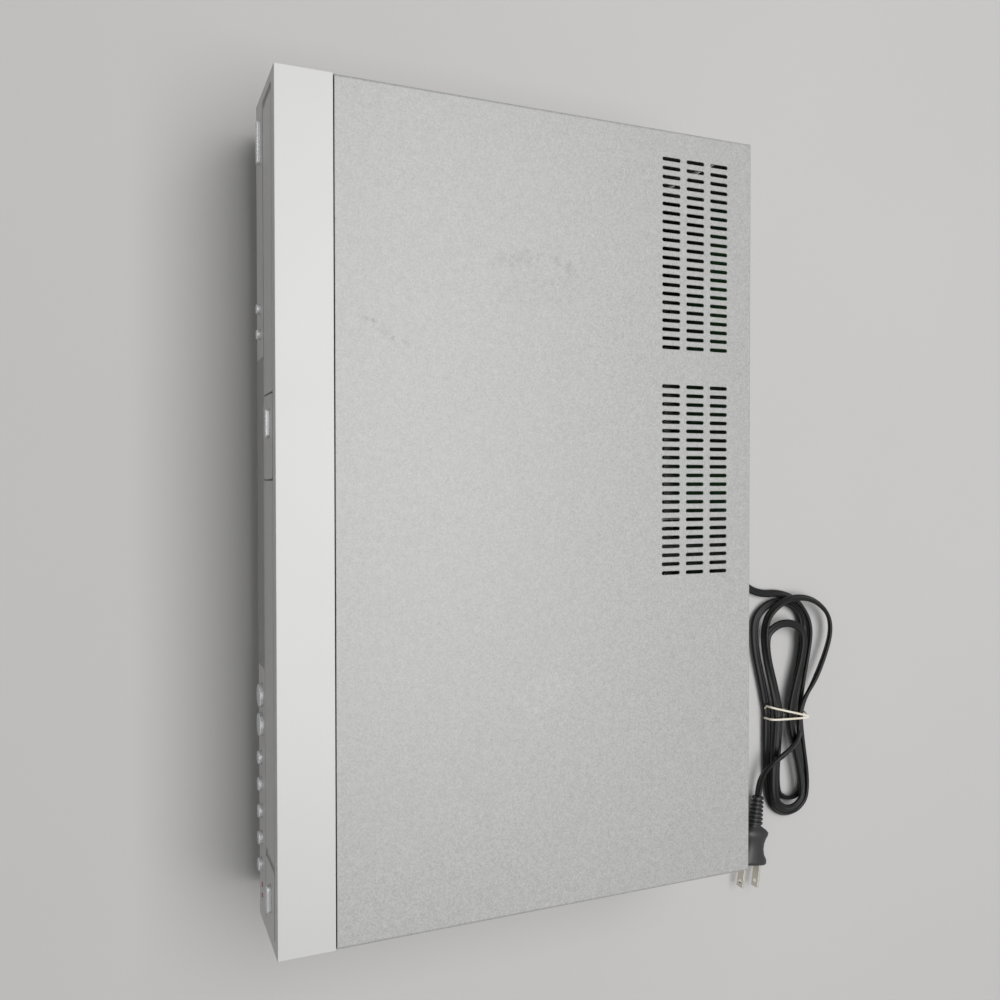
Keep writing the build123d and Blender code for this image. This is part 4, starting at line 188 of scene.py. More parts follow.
class Shader(NodeBench):
    """The node tree of one material."""

    def __init__(self, name: str) -> None:
        """Start an empty material."""
        self.material = bpy.data.materials.new(name)
        super().__init__(self.material)
        self._place: Signal | None = None
        self._axes: list[Signal] = []

    @property
    def place(self) -> Signal:
        """The point on the piece, in the CAD's frame at rest."""
        if self._place is None:
            self._place = self.signal(self.node("ShaderNodeTexCoord"), "Object")
        return self._place

    def axis(self, index: int) -> Signal:
        """One coordinate of the point."""
        if not self._axes:
            node = self.node("ShaderNodeSeparateXYZ", None, {0: self.place})
            self._axes = [Signal(self, socket) for socket in node.outputs]
        return self._axes[index]

    def stretched(self, scale: Point) -> Signal:
        """The point with its coordinates scaled."""
        values = {0: self.place, 1: scale}
        return self.signal(self.node("ShaderNodeVectorMath", {"operation": "MULTIPLY"}, values))

    def noise(self, size: float, detail: float = 2.0, place: Signal | None = None) -> Signal:
        """Noise about a half.

        Args:
            size: The size of its patches, in metres.
            detail: How many finer layers it has.
            place: Where it is read, if not at the point itself.

        Returns:
            The value, from 0 to 1.
        """
        values = {"Vector": place or self.place, "Scale": 1 / size, "Detail": detail}
        return self.signal(self.node("ShaderNodeTexNoise", None, values))

    def cells(self, size: float, place: Signal | None = None) -> Signal:
        """Distance to the middle of the nearest cell, in cells."""
        values = {"Vector": place or self.place, "Scale": 1 / size}
        return self.signal(self.node("ShaderNodeTexVoronoi", None, values))

    def blend(self, share: Signal, first: Value, second: Value) -> Signal:
        """A colour between two, by share."""
        values = {0: share, 6: first, 7: second}
        return self.signal(self.node("ShaderNodeMix", {"data_type": "RGBA"}, values), 2)

    def tinted(self, colour: Colour, amount: Signal) -> Signal:
        """A colour made lighter or darker by a factor about 1."""
        dark = tuple(channel * 0.5 for channel in colour)
        light = tuple(channel * 1.5 for channel in colour)
        return self.blend(amount - 0.5, dark, light)

    def within(self, low: Point, high: Point, soft: float = EDGE_FADE) -> Signal:
        """1 inside a box, fading over a soft width at its sides."""
        mask: Signal | None = None
        for index, (bottom, top) in enumerate(zip(low, high)):
            middle, half = (bottom + top) / 2, (top - bottom) / 2
            side = 1 - (self.axis(index) - middle).distance().ramp(half - soft, half + soft)
            mask = side if mask is None else mask * side
        return mask

    def inside(self, box: Box) -> Signal:
        """1 inside a box whose corners are in mm."""
        return self.within(metres(*box[0]), metres(*box[1]))

    def relief(
        self, height: Signal, depth: float, edge: float = 0.0, strength: float = 1.0
    ) -> Signal:
        """A normal that follows a height, with the piece's edges rounded.

        Args:
            height: The height, from 0 to 1.
            depth: What 1 stands for, in metres.
            edge: The radius of the edges, or 0 for none.
            strength: How much of the relief shows.

        Returns:
            The normal.
        """
        values: dict[Union[str, int], Value] = {
            "Height": height,
            "Distance": depth,
            "Strength": strength,
        }
        if edge:
            bevel = self.node("ShaderNodeBevel", {"samples": BEVEL_SAMPLES}, {0: edge})
            values["Normal"] = self.signal(bevel)
        return self.signal(self.node("ShaderNodeBump", None, values))

    def surface(self, values: Mapping[Union[str, int], Value]) -> bpy.types.Material:
        """Finish the material with a Principled surface."""
        principled = self.node("ShaderNodeBsdfPrincipled", None, values)
        self.node("ShaderNodeOutputMaterial", None, {"Surface": self.signal(principled)})
        return self.material


# ---------------------------------------------------------------- finishes


@dataclass(frozen=True)
class Finish:
    """What every finish has."""

    name: str
    colour: Colour

    def material(self) -> bpy.types.Material:
        """The finish as a material."""
        raise NotImplementedError


@dataclass(frozen=True)
class Mark:
    """A soft scuff on a painted face."""

    middle: Pair
    size: Pair
    lean: float
    change: float


@dataclass(frozen=True)
class SpeckledPaint(Finish):
    """Silver paint with a fine metallic speckle, on sheet steel."""

    speckle: float = 0.80
    speckle_size: float = 0.0009
    mottle: float = 0.16
    mottle_size: float = 0.0034
    cloud: float = 0.06
    cloud_size: float = 0.16
    scuff_grain: float = 0.004
    peel_size: float = 0.0016
    peel_depth: float = 0.00012
    edge: float = 0.0006
    roughness: float = 0.46
    metallic: float = 0.20
    specular: float = 0.4
    marks: tuple[Mark, ...] = ()

    def material(self) -> bpy.types.Material:
        """Paint with fine grain, slow clouds of tone and a few scuffs."""
        shader = Shader(self.name)
        fine = shader.noise(self.speckle_size, 3.0) - 0.5
        coarse = shader.noise(self.mottle_size, 2.0) - 0.5
        cloud = shader.noise(self.cloud_size, 2.0) - 0.5
        tone = fine * self.speckle + coarse * self.mottle + cloud * self.cloud + 1.0
        worn = shader.noise(self.scuff_grain, 4.0).ramp(0.42, 0.66)
        for mark in self.marks:
            tone = tone + self._scuff(shader, mark) * worn * mark.change
        peel = shader.noise(self.peel_size, 2.0)
        return shader.surface(
            {
                "Base Color": shader.tinted(self.colour, tone),
                "Roughness": self.roughness + fine * 0.25 + cloud * 0.08,
                "Metallic": self.metallic,
                "Specular IOR Level": self.specular,
                "Normal": shader.relief(peel, self.peel_depth, self.edge, 0.35),
            }
        )

    def _scuff(self, shader: Shader, mark: Mark) -> Signal:
        """A soft leaning ellipse."""
        across, along = shader.axis(0) - mark.middle[0], shader.axis(1) - mark.middle[1]
        turn_x, turn_y = cos(mark.lean), sin(mark.lean)
        first = (across * turn_x + along * turn_y) / mark.size[0]
        second = (along * turn_x - across * turn_y) / mark.size[1]
        return 1 - (first * first + second * second).ramp(0.2, 1.0)


@dataclass(frozen=True)
class MouldedPlastic(Finish):
    """Moulded plastic, plain or sprayed, with a fine spark texture."""

    roughness: float = 0.4
    metallic: float = 0.0
    grain: float = 0.0005
    depth: float = 0.00002
    speckle: float = 0.06
    cloud_size: float = 0.05
    edge: float = 0.0004

    def material(self) -> bpy.types.Material:
        """Plastic with a little grain, tone and rounded edges."""
        shader = Shader(self.name)
        fine = shader.noise(self.grain, 2.0) - 0.5
        slow = shader.noise(self.cloud_size, 2.0) - 0.5
        spark = shader.noise(self.grain, 3.0)
        tone = fine * self.speckle + slow * 0.05 + 1.0
        return shader.surface(
            {
                "Base Color": shader.tinted(self.colour, tone),
                "Roughness": self.roughness + fine * 0.12 + slow * 0.10,
                "Metallic": self.metallic,
                "Normal": shader.relief(spark, self.depth, self.edge, 0.5),
            }
        )


class Brushing(Enum):
    """Which way a metal's fine lines run."""

    ALONG_X = (4.0, 600.0, 600.0)
    ROLLED = (60.0, 60.0, 60.0)
    TURNED = (30.0, 30.0, 3500.0)


@dataclass(frozen=True)
class BareMetal(Finish):
    """Plated, rolled or turned metal."""

    roughness: float = 0.3
    brushing: Brushing = Brushing.ROLLED
    spangle: float = 0.0
    crystal: float = 0.009
    cloud_size: float = 0.03
    line_depth: float = 0.00002
    edge: float = 0.0003

    def material(self) -> bpy.types.Material:
        """Metal with its lines, a slow tone and, on plated sheet, faint crystals."""
        shader = Shader(self.name)
        lines = shader.noise(1.0, 2.0, shader.stretched(self.brushing.value)) - 0.5
        slow = shader.noise(self.cloud_size, 3.0) - 0.5
        tone = lines * 0.10 + slow * 0.14 + 1.0
        if self.spangle:
            tone = tone + (shader.cells(self.crystal) - 0.4) * self.spangle
        return shader.surface(
            {
                "Base Color": shader.tinted(self.colour, tone),
                "Roughness": self.roughness + lines * 0.16 + slow * 0.14,
                "Metallic": 1.0,
                "Normal": shader.relief(lines, self.line_depth, self.edge, 0.4),
            }
        )


@dataclass(frozen=True)
class SmokedAcrylic(Finish):
    """The dark clear window over the display."""

    dust_size: float = 0.0012
    dust_colour: Colour = shade(120, 118, 112)

    def material(self) -> bpy.types.Material:
        """Dark and glossy, with fine dust."""
        shader = Shader(self.name)
        dust = shader.noise(self.dust_size, 4.0).ramp(0.62, 0.8)
        return shader.surface(
            {
                "Base Color": shader.blend(dust * 0.25, self.colour, self.dust_colour),
                "Roughness": 0.06 + dust * 0.3,
                "Coat Weight": 0.6,
                "Coat Roughness": 0.03,
                "Normal": shader.relief(dust, 0.00001, 0.0003, 0.3),
            }
        )


@dataclass(frozen=True)
class CircuitBoard(Finish):
    """A lacquered board with its tracks and pads."""

    copper: Colour = shade(58, 128, 66)
    pad: Colour = shade(176, 176, 168)
    track_size: float = 0.0042
    track_stretch: Point = (1.0, 2.6, 1.0)
    pad_pitch: float = 0.0064

    def material(self) -> bpy.types.Material:
        """Tracks as stretched cells, pads as dots on a grid."""
        shader = Shader(self.name)
        wide = shader.stretched(self.track_stretch)
        tracks = shader.cells(self.track_size, wide).ramp(0.30, 0.42)
        pads = 1 - shader.cells(self.pad_pitch).ramp(0.10, 0.16)
        colour = shader.blend(tracks, self.colour, self.copper)
        return shader.surface(
            {
                "Base Color": shader.blend(pads, colour, self.pad),
                "Roughness": 0.35 + tracks * 0.1 - pads * 0.1,
                "Metallic": pads * 0.7,
                "Normal": shader.relief(tracks + pads, 0.00006, 0.0, 0.5),
            }
        )


@dataclass(frozen=True)
class KeyBoard(Finish):
    """The board behind the front, with its display, switches and lights."""

    glass: Colour = shade(20, 34, 36)
    copper: Colour = shade(62, 132, 70)
    switch_colour: Colour = shade(52, 52, 50)
    light_colour: Colour = shade(186, 60, 44)
    track_size: float = 0.003
    track_stretch: Point = (1.0, 1.0, 2.2)
    board_face: Pair = (-0.1312, -0.1310)
    display_box: Box = ((-60.5, -142, 40), (60.5, -131, 57))
    lights_box: Box = ((193, -146, 44), (206, -131.2, 50))

    def material(self) -> bpy.types.Material:
        """Board at the back, dark display glass in the middle, switches and lights in front."""
        shader = Shader(self.name)
        tall = shader.stretched(self.track_stretch)
        tracks = shader.cells(self.track_size, tall).ramp(0.3, 0.42)
        board = shader.blend(tracks, self.colour, self.copper)
        front = 1 - shader.axis(1).ramp(*self.board_face)
        display = shader.inside(self.display_box)
        lights = shader.inside(self.lights_box)
        switches = shader.blend(front, board, self.switch_colour)
        glass = shader.blend(display, switches, self.glass)
        return shader.surface(
            {
                "Base Color": shader.blend(lights, glass, self.light_colour),
                "Roughness": 0.42 - display * 0.3 - lights * 0.2,
                "Normal": shader.relief(tracks, 0.00005, 0.0002, 0.3),
            }
        )


@dataclass(frozen=True)
class PowerParts(Finish):
    """Transformer, capacitors and heat sink, which are one group of solids."""

    sleeve: Colour = shade(30, 32, 40)
    winding_colour: Colour = shade(206, 170, 70)
    core_colour: Colour = shade(70, 70, 74)
    bright: Colour = shade(188, 190, 192)
    winding_box: Box = ((-60, 78, 18), (-22, 114, 32.5))
    core_box: Box = ((-60, 78, 32.4), (-22, 114, 48))
    sink_box: Box = ((3.5, 78, 14.7), (16, 122, 52))
    can_tops: tuple[Box, ...] = (
        ((-86, 68, 44.2), (-66, 88, 45.5)),
        ((-10, 64, 34.2), (16, 80, 35.5)),
        ((-84, 96, 32.2), (-68, 112, 33.5)),
    )

    def material(self) -> bpy.types.Material:
        """Each part's own colour by where it stands."""
        shader = Shader(self.name)
        grime = shader.noise(0.006, 3.0) - 0.5
        wound = shader.inside(self.winding_box)
        core = shader.inside(self.core_box)
        sink = shader.inside(self.sink_box)
        tops = shader.inside(self.can_tops[0])
        for box in self.can_tops[1:]:
            tops = tops + shader.inside(box)
        colour = shader.blend(wound, self.sleeve, self.winding_colour)
        colour = shader.blend(core, colour, self.core_colour)
        colour = shader.blend(sink + tops, colour, self.bright)
        return shader.surface(
            {
                "Base Color": colour,
                "Roughness": 0.4 + grime * 0.3,
                "Metallic": (sink + tops) * 0.9,
                "Normal": shader.relief(grime, 0.0001, 0.0004, 0.3),
            }
        )


@dataclass(frozen=True)
class JackBlock(Finish):
    """Signal sockets: black blocks with nickel barrels through the rear panel."""

    barrel_colour: Colour = shade(206, 204, 198)
    panel_face: Pair = (0.1321, 0.1323)
    video_box: Box = ((-127, 100, 14), (-109, 150, 40))

    def material(self) -> bpy.types.Material:
        """Black plastic up to the panel and bright metal outside it."""
        shader = Shader(self.name)
        outside = shader.axis(1).ramp(*self.panel_face)
        video = shader.inside(self.video_box)
        metal = outside * (1 - video)
        grain = shader.noise(0.0006, 2.0) - 0.5
        return shader.surface(
            {
                "Base Color": shader.blend(metal, self.colour, self.barrel_colour),
                "Roughness": 0.42 - metal * 0.2 + grain * 0.1,
                "Metallic": metal,
                "Normal": shader.relief(grain, 0.00002, 0.0003, 0.5),
            }
        )


@dataclass(frozen=True)
class CordSheath(Finish):
    """The cord's soft black sheath, glossy where it is rubbed."""

    roughness: float = 0.32
    specular: float = 0.22
    dust_colour: Colour = shade(58, 58, 60)

    def material(self) -> bpy.types.Material:
        """Black with a slow change of gloss and a little dust."""
        shader = Shader(self.name)
        slow = shader.noise(0.012, 3.0)
        dust = shader.noise(0.0016, 4.0).ramp(0.60, 0.80)
        return shader.surface(
            {
                "Base Color": shader.blend(dust * 0.3, self.colour, self.dust_colour),
                "Roughness": self.roughness + (slow - 0.5) * 0.3 + dust * 0.2,
                "Specular IOR Level": self.specular,
                "Normal": shader.relief(slow, 0.0003, 0.0, 0.3),
            }
        )


@dataclass(frozen=True)
class BandRubber(Finish):
    """The pale rubber band."""

    aged_colour: Colour = shade(224, 206, 178)

    def material(self) -> bpy.types.Material:
        """Chalky and a little yellowed in patches."""
        shader = Shader(self.name)
        aged = shader.noise(0.006, 3.0).ramp(0.4, 0.7)
        return shader.surface(
            {
                "Base Color": shader.blend(aged * 0.6, self.colour, self.aged_colour),
                "Roughness": 0.62 + aged * 0.1,
                "Subsurface Weight": 0.1,
                "Normal": shader.relief(shader.noise(0.0008, 3.0), 0.0001, 0.0, 0.5),
            }
        )


COVER_MARKS = (
    Mark((-0.092, -0.090), (0.003, 0.017), radians(-28), -0.22),
    Mark((-0.134, -0.018), (0.006, 0.020), radians(12), -0.14),
    Mark((-0.132, 0.012), (0.004, 0.012), radians(-30), -0.16),
    Mark((0.097, -0.001), (0.012, 0.022), radians(20), 0.08),
    Mark((-0.118, -0.003), (0.012, 0.030), radians(4), -0.06),
)

PAINT = SpeckledPaint("speckled_silver_paint", shade(160, 160, 159), marks=COVER_MARKS)
SATIN_SILVER = MouldedPlastic(
    "satin_silver_plastic", shade(188, 188, 186), roughness=0.42, metallic=0.1
)
BRIGHT_SILVER = MouldedPlastic(
    "bright_silver_keys", shade(216, 217, 218), roughness=0.26, metallic=0.5
)
ZINC = BareMetal("zinc_plated_steel", shade(186, 188, 186), roughness=0.36, spangle=0.10)
BLACK_ABS = MouldedPlastic("black_moulded_plastic", shade(34, 34, 35), roughness=0.48, speckle=0.3)
NYLON = MouldedPlastic("white_nylon", shade(226, 224, 214), roughness=0.45)
STEEL = BareMetal(
    "ground_steel", shade(206, 206, 206), roughness=0.16, brushing=Brushing.ALONG_X
)
DRUM = BareMetal(
    "turned_aluminium", shade(214, 214, 216), roughness=0.18, brushing=Brushing.TURNED
)
MOTOR = BareMetal("motor_case_steel", shade(168, 168, 172), roughness=0.32)
RUBBER = MouldedPlastic("black_rubber", shade(26, 26, 26), roughness=0.68, depth=0.00005)
NICKEL = BareMetal(
    "nickel_plate", shade(202, 198, 188), roughness=0.18, brushing=Brushing.ALONG_X
)
WINDOW = SmokedAcrylic("smoked_acrylic", shade(20, 21, 24))
BOARD = CircuitBoard("green_circuit_board", shade(24, 84, 44))
KEYS_BOARD = KeyBoard("front_key_board", shade(24, 84, 44))
POWER = PowerParts("power_supply_parts", shade(40, 40, 44))
JACKS = JackBlock("socket_blocks", shade(30, 30, 31))
SHEATH = CordSheath("cord_sheath", shade(15, 15, 16))
BAND = BandRubber("pale_rubber", shade(236, 228, 212))
PLUG = MouldedPlastic(
    "black_plug_vinyl", shade(17, 17, 18), roughness=0.42, speckle=0.2, edge=0.0008
)
RING_COLOURS: dict[str, Finish] = {
    "yellow": MouldedPlastic("yellow_plastic", shade(214, 178, 40), roughness=0.36),
    "white": MouldedPlastic("white_plastic", shade(222, 222, 216), roughness=0.36),
    "red": MouldedPlastic("red_plastic", shade(176, 36, 34), roughness=0.36),
    "orange": MouldedPlastic("orange_plastic", shade(206, 104, 34), roughness=0.36),
}

SLOT_FINISHES: dict[str, Finish] = {
    "painted_steel": PAINT,
    "plated_steel": ZINC,
    "silver_plastic": SATIN_SILVER,
    "smoked_window": WINDOW,
    "black_plastic": BLACK_ABS,
    "white_nylon": NYLON,
    "green_board": BOARD,
    "steel_shafts": STEEL,
    "drum_aluminium": DRUM,
    "motor_steel": MOTOR,
    "power_components": POWER,
    "black_rubber": RUBBER,
    "cord_black": PLUG,
    "band_rubber": BAND,
    "nickel": NICKEL,
}


class Wardrobe:
    """Makes each finish once and hands it out."""

    def __init__(self) -> None:
        """Nothing is made yet."""
        self._made: dict[str, bpy.types.Material] = {}

    def get(self, finish: Finish) -> bpy.types.Material:
        """The finish's material."""
        if finish.name not in self._made:
            self._made[finish.name] = finish.material()
        return self._made[finish.name]

    def dress(self, thing: bpy.types.Object, finish: Finish) -> None:
        """Put a finish on every slot of an object."""
        material = self.get(finish)
        if not thing.material_slots:
            thing.data.materials.append(material)
        for slot in thing.material_slots:
            slot.material = material


# ---------------------------------------------------------------- meshes


class Sheet:
    """A mesh that is put together from swept forms."""

    def __init__(self) -> None:
        """Start with nothing."""
        self.mesh = bmesh.new()

    def sweep(self, rings: Sequence[Sequence[Vector]], closed: bool = False) -> None:
        """Skin a row of rings with the same number of points.

        Args:
            rings: The rings, in order along the form.
            closed: Whether the last ring joins the first; otherwise both ends are capped.
        """
        rows = [[self.mesh.verts.new(point) for point in ring] for ring in rings]
        count = len(rows[0])
        pairs = list(zip(rows, rows[1:])) + ([(rows[-1], rows[0])] if closed else [])
        for first, second in pairs:
            for index in range(count):
                after = (index + 1) % count
                self.mesh.faces.new((first[index], first[after], second[after], second[index]))
        if not closed:
            self.mesh.faces.new(list(reversed(rows[0])))
            self.mesh.faces.new(rows[-1])

    def piece(
        self, name: str, material: bpy.types.Material, slot: str, smooth: float = 35.0
    ) -> bpy.types.Object:
        """Turn the mesh into a piece of the scene.

        Args:
            name: The piece's name.
            material: Its material.
            slot: The record's material slot; not used.
            smooth: The angle in degrees up to which edges are shaded smooth.

        Returns:
            The new object, which doesn't ride on anything yet.
        """
        bmesh.ops.recalc_face_normals(self.mesh, faces=self.mesh.faces)
        data = bpy.data.meshes.new(name)
        self.mesh.to_mesh(data)
        self.mesh.free()
        data.polygons.foreach_set("use_smooth", [True] * len(data.polygons))
        data.set_sharp_from_angle(angle=radians(smooth))
        data.materials.append(material)
        made = bpy.data.objects.new(name, data)
        bpy.context.scene.collection.objects.link(made)
        return made


# ---------------------------------------------------------------- studio


@dataclass(frozen=True)
class Studio:
    """The floor, the light and the camera."""

    floor_colour: Colour = shade(192, 191, 190)
    floor_half: float = 4.0
    key_place: Point = (-0.20, 0.38, 1.9)
    key_size: Pair = (2.2, 1.3)
    key_power: float = 36.0
    horizon_light: float = 0.13
    zenith_light: float = 0.40
    world_seen: float = 0.82
    world_colour: Colour = (0.99, 0.995, 1.0)
    camera_place: Point = (-0.01414, -0.21561, 0.54754)
    camera_right: Point = (0.00093, 0.92269, 0.38554)
    camera_forward: Point = (0.01528, 0.38548, -0.92259)
    lens: float = 33.53
    sensor: float = 36.0

    def build(self) -> None:
        """Set everything that isn't part of the player."""
        bpy.context.scene.view_settings.view_transform = "Standard"
        self._floor()
        self._world()
        self._lamps()
        self._camera()
        LOG.info("studio: floor, light and camera")

    def _floor(self) -> None:
        """A plain pale floor."""
        half = self.floor_half
        data = bpy.data.meshes.new("floor")
        corners = [(-half, -half, 0), (half, -half, 0), (half, half, 0), (-half, half, 0)]
        data.from_pydata(corners, [], [(0, 1, 2, 3)])
        floor = bpy.data.objects.new("floor", data)
        bpy.context.scene.collection.objects.link(floor)
        shader = Shader("pale_floor")
        cloud = shader.noise(0.3, 3.0) - 0.5
        data.materials.append(
            shader.surface(
                {
                    "Base Color": shader.tinted(self.floor_colour, cloud * 0.05 + 1.0),
                    "Roughness": 0.7,
                    "Specular IOR Level": 0.2,
                }
            )
        )

    def _world(self) -> None:
        """Even light, with a paler room in what is seen directly, in gloss and through glass."""
        world = bpy.data.worlds.new("studio")
        bpy.context.scene.world = world
        bench = NodeBench(world)
        rays = bench.node("ShaderNodeLightPath")
        seen = bench.signal(rays, "Is Camera Ray")
        for name in ("Is Glossy Ray", "Is Transmission Ray"):
            seen = seen.larger(bench.signal(rays, name))
        sky = bench.signal(bench.node("ShaderNodeTexCoord"), "Generated")
        split = bench.node("ShaderNodeSeparateXYZ", None, {0: sky})
        rise = {0: bench.signal(split, "Z"), "To Min": self.horizon_light, "To Max": self.zenith_light}
        lit = bench.signal(bench.node("ShaderNodeMapRange", None, rise))
        strength = bench.node("ShaderNodeMix", None, {0: seen, 2: lit, 3: self.world_seen})
        glow = {"Color": self.world_colour, "Strength": bench.signal(strength)}
        light = bench.node("ShaderNodeBackground", None, glow)
        bench.node("ShaderNodeOutputWorld", None, {"Surface": bench.signal(light)})

    def _lamps(self) -> None:
        """One large soft lamp overhead, a little behind the player."""
        lamp = bpy.data.lights.new("key", "AREA")
        lamp.shape = "RECTANGLE"
        lamp.size, lamp.size_y = self.key_size
        lamp.energy = self.key_power
        key = bpy.data.objects.new("key", lamp)
        key.location = self.key_place
        bpy.context.scene.collection.objects.link(key)

    def _camera(self) -> None:
        """The camera, solved from the corners of the player's top and front."""
        right = Vector(self.camera_right).normalized()
        back = -Vector(self.camera_forward).normalized()
        up = back.cross(right).normalized()
        right = up.cross(back).normalized()
        data = bpy.data.cameras.new("camera")
        data.lens = self.lens
        data.sensor_width = self.sensor
        data.clip_start = 0.01
        camera = bpy.data.objects.new("camera", data)
        turn = Matrix((right, up, back)).transposed().to_4x4()
        camera.matrix_world = Matrix.Translation(self.camera_place) @ turn
        bpy.context.scene.collection.objects.link(camera)
        bpy.context.scene.camera = camera


# ---------------------------------------------------------------- mains cord


@dataclass(frozen=True)
class Stop:
    """One control point of the cord, in mm, with the angle of its flat side from upright."""

    x: float
    y: float
    z: float
    roll: float = 0.0


TURN_STEP = 22.5
TURN_STOPS = (TURN_STEP, 3 * TURN_STEP, 5 * TURN_STEP, 7 * TURN_STEP)


@dataclass(frozen=True)
class Turn:
    """One end turn of the hank, in mm."""

    x: float
    start_y: float
    end_y: float
    reach: float
    start_z: float
    end_z: float
    roll: float = 0.0

    def stops(self) -> list[Stop]:
        """Four control points that carry the cord round half an ellipse."""
        outside = 1 / cos(radians(TURN_STEP))
        middle, half = (self.start_y + self.end_y) / 2, (self.end_y - self.start_y) / 2
        found = []
        for degrees in TURN_STOPS:
            angle = radians(degrees)
            share = degrees / 180
            found.append(
                Stop(
                    self.x + self.reach * sin(angle) * outside,
                    middle - half * cos(angle) * outside,
                    self.start_z + (self.end_z - self.start_z) * share,
                    self.roll,
                )
            )
        return found


@dataclass
class MainsCord:
    """The flat twin lead, its hank with the rubber band, and the plug."""

    wardrobe: Wardrobe
    width: float = 5.6 * MM
    thickness: float = 2.9 * MM
    low: float = 3.9
    high: float = 9.5
    waist_x: float = 151.0
    waist_y: float = 235.0
    half_waist: float = 6.0
    band_reach: float = 17.4
    band_low: float = 0.6
    band_high: float = 12.9
    band_radius: float = 0.6
    band_flatness: Pair = (1.25, 0.8)
    band_steps: int = 96
    band_sides: int = 8
    windings: tuple[Pair, ...] = ((2.6, 0.04), (-2.2, 0.27))
    return_slant: float = 0.6
    groove_angle: int = 125
    profile_step: int = 25
    exit_point: Point = metres(12.0, 146.2, 30.0)
    plug_place: Point = (207.5, 209.2, 8.0)
    plug_lean: float = radians(-8.0)
    plug_ribs: int = 7
    rib_pitch: float = 2.9
    plug_sides: int = 28
    grip: tuple[Point, ...] = (
        (21.6, 9.2, 12.0),
        (23.4, 11.6, 18.4),
        (24.8, 12.8, 21.6),
        (26.6, 13.0, 21.4),
        (29.0, 12.2, 18.8),
        (32.5, 11.4, 16.8),
        (36.5, 11.4, 16.6),
        (40.5, 12.4, 18.6),
        (43.0, 13.8, 21.8),
        (44.6, 14.4, 23.2),
        (46.4, 14.4, 23.2),
        (47.0, 13.4, 22.2),
    )
    rib_crest: float = 0.45
    rib_groove: float = 0.62
    rib_floor: float = 0.2
    rib_depth: Pair = (1.8, 1.9)
    neck_size: Pair = (7.0, 7.8)
    neck_growth: Pair = (1.6, 2.6)
    plug_corner: float = 0.72

    def lead_stops(self) -> list[Stop]:
        """From the strain relief down to the floor and round the outside of the turns."""
        return [
            Stop(12.0, 146.2, 30.0, 90.0),
            Stop(12.0, 157.2, 30.0, 90.0),
            Stop(13.5, 168.5, 24.5, 80.0),
            Stop(20.0, 178.0, 14.5, 75.0),
            Stop(32.0, 185.5, 6.5, 75.0),
            Stop(45.5, 191.5, 3.4, 80.0),
            Stop(58.0, 201.0, 2.6, 80.0),
            Stop(64.0, 215.0, 2.6, 70.0),
            Stop(63.5, 231.0, 3.0, 50.0),
            Stop(68.5, 246.0, 3.2, 40.0),
            Stop(78.5, 255.5, 3.4, 30.0),
            Stop(91.0, 259.5, 3.7, 20.0),
            Stop(104.0, 258.0, 3.9, 20.0),
        ]

    def hank_stops(self) -> list[Stop]:
        """Seven passes through the waist, with a turn of its own size at each end."""
        low, high = self.low, self.high
        between = (low + high) / 2
        return [
            *self._waist(15.0, low, 1, 50.0),
            *Turn(202.0, 259.0, 220.0, 23.0, low, low, 30.0).stops(),
            *self._waist(-15.0, low, -1, 62.0),
            *Turn(97.0, 205.0, 255.0, -27.0, low, low, 70.0).stops(),
            *self._waist(6.5, low, 1, 40.0),
            *Turn(200.0, 255.0, 227.0, 14.0, low, low, 20.0).stops(),
            *self._waist(-6.5, between, -1, 70.0),
            *Turn(104.0, 212.0, 252.0, -19.0, high, high, 84.0).stops(),
            *self._waist(1.5, high, 1, 76.0),
            *Turn(202.0, 250.0, 221.0, 17.0, high, high, 62.0).stops(),
            *self._waist(-10.2, high, -1, 80.0),
            *Turn(100.0, 209.0, 277.0, -33.0, high, high, 34.0).stops(),
            Stop(124.0, 262.0, high, 20.0),
            Stop(self.waist_x - self.half_waist, self.waist_y + 10.7, high, 60.0),
            Stop(self.waist_x + self.half_waist + 5.0, self.waist_y + 10.2, high, 70.0),
        ]

    def _waist(self, offset: float, z: float, heading: int, roll: float = 0.0) -> list[Stop]:
        """Two control points that carry a pass straight under the band."""
        y = self.waist_y + offset
        reach = heading * self.half_waist
        return [Stop(self.waist_x - reach, y, z, roll), Stop(self.waist_x + reach, y, z, roll)]

    def tail_stops(self) -> list[Stop]:
        """From the hank over its own passes and down to the plug."""
        return [
            Stop(166.5, 243.0, 11.5, 60.0),
            Stop(170.5, 238.0, 14.0, 50.0),
            Stop(174.0, 231.5, 16.2, 50.0),
            Stop(178.0, 224.5, 16.4, 50.0),
            Stop(183.0, 217.5, 14.6, 40.0),
            Stop(190.0, 212.3, 11.0, 30.0),
            Stop(198.6, 210.5, 8.0),
            Stop(207.5, 209.2, 8.0),
        ]

    def build(self) -> None:
        stops = [*self.lead_stops(), *self.hank_stops(), *self.tail_stops()]
        line = self._line(stops)
        cord = self._flat_lead(line, self._rolls(stops, line))
        band = self._band()
        plug = [self._plug(), NODES["plug_blades"]]
        length = sum((after - before).length for before, after in zip(line, line[1:]))
        LOG.info("mains cord: %.3f m of flat twin lead in %d points", length, len(line))

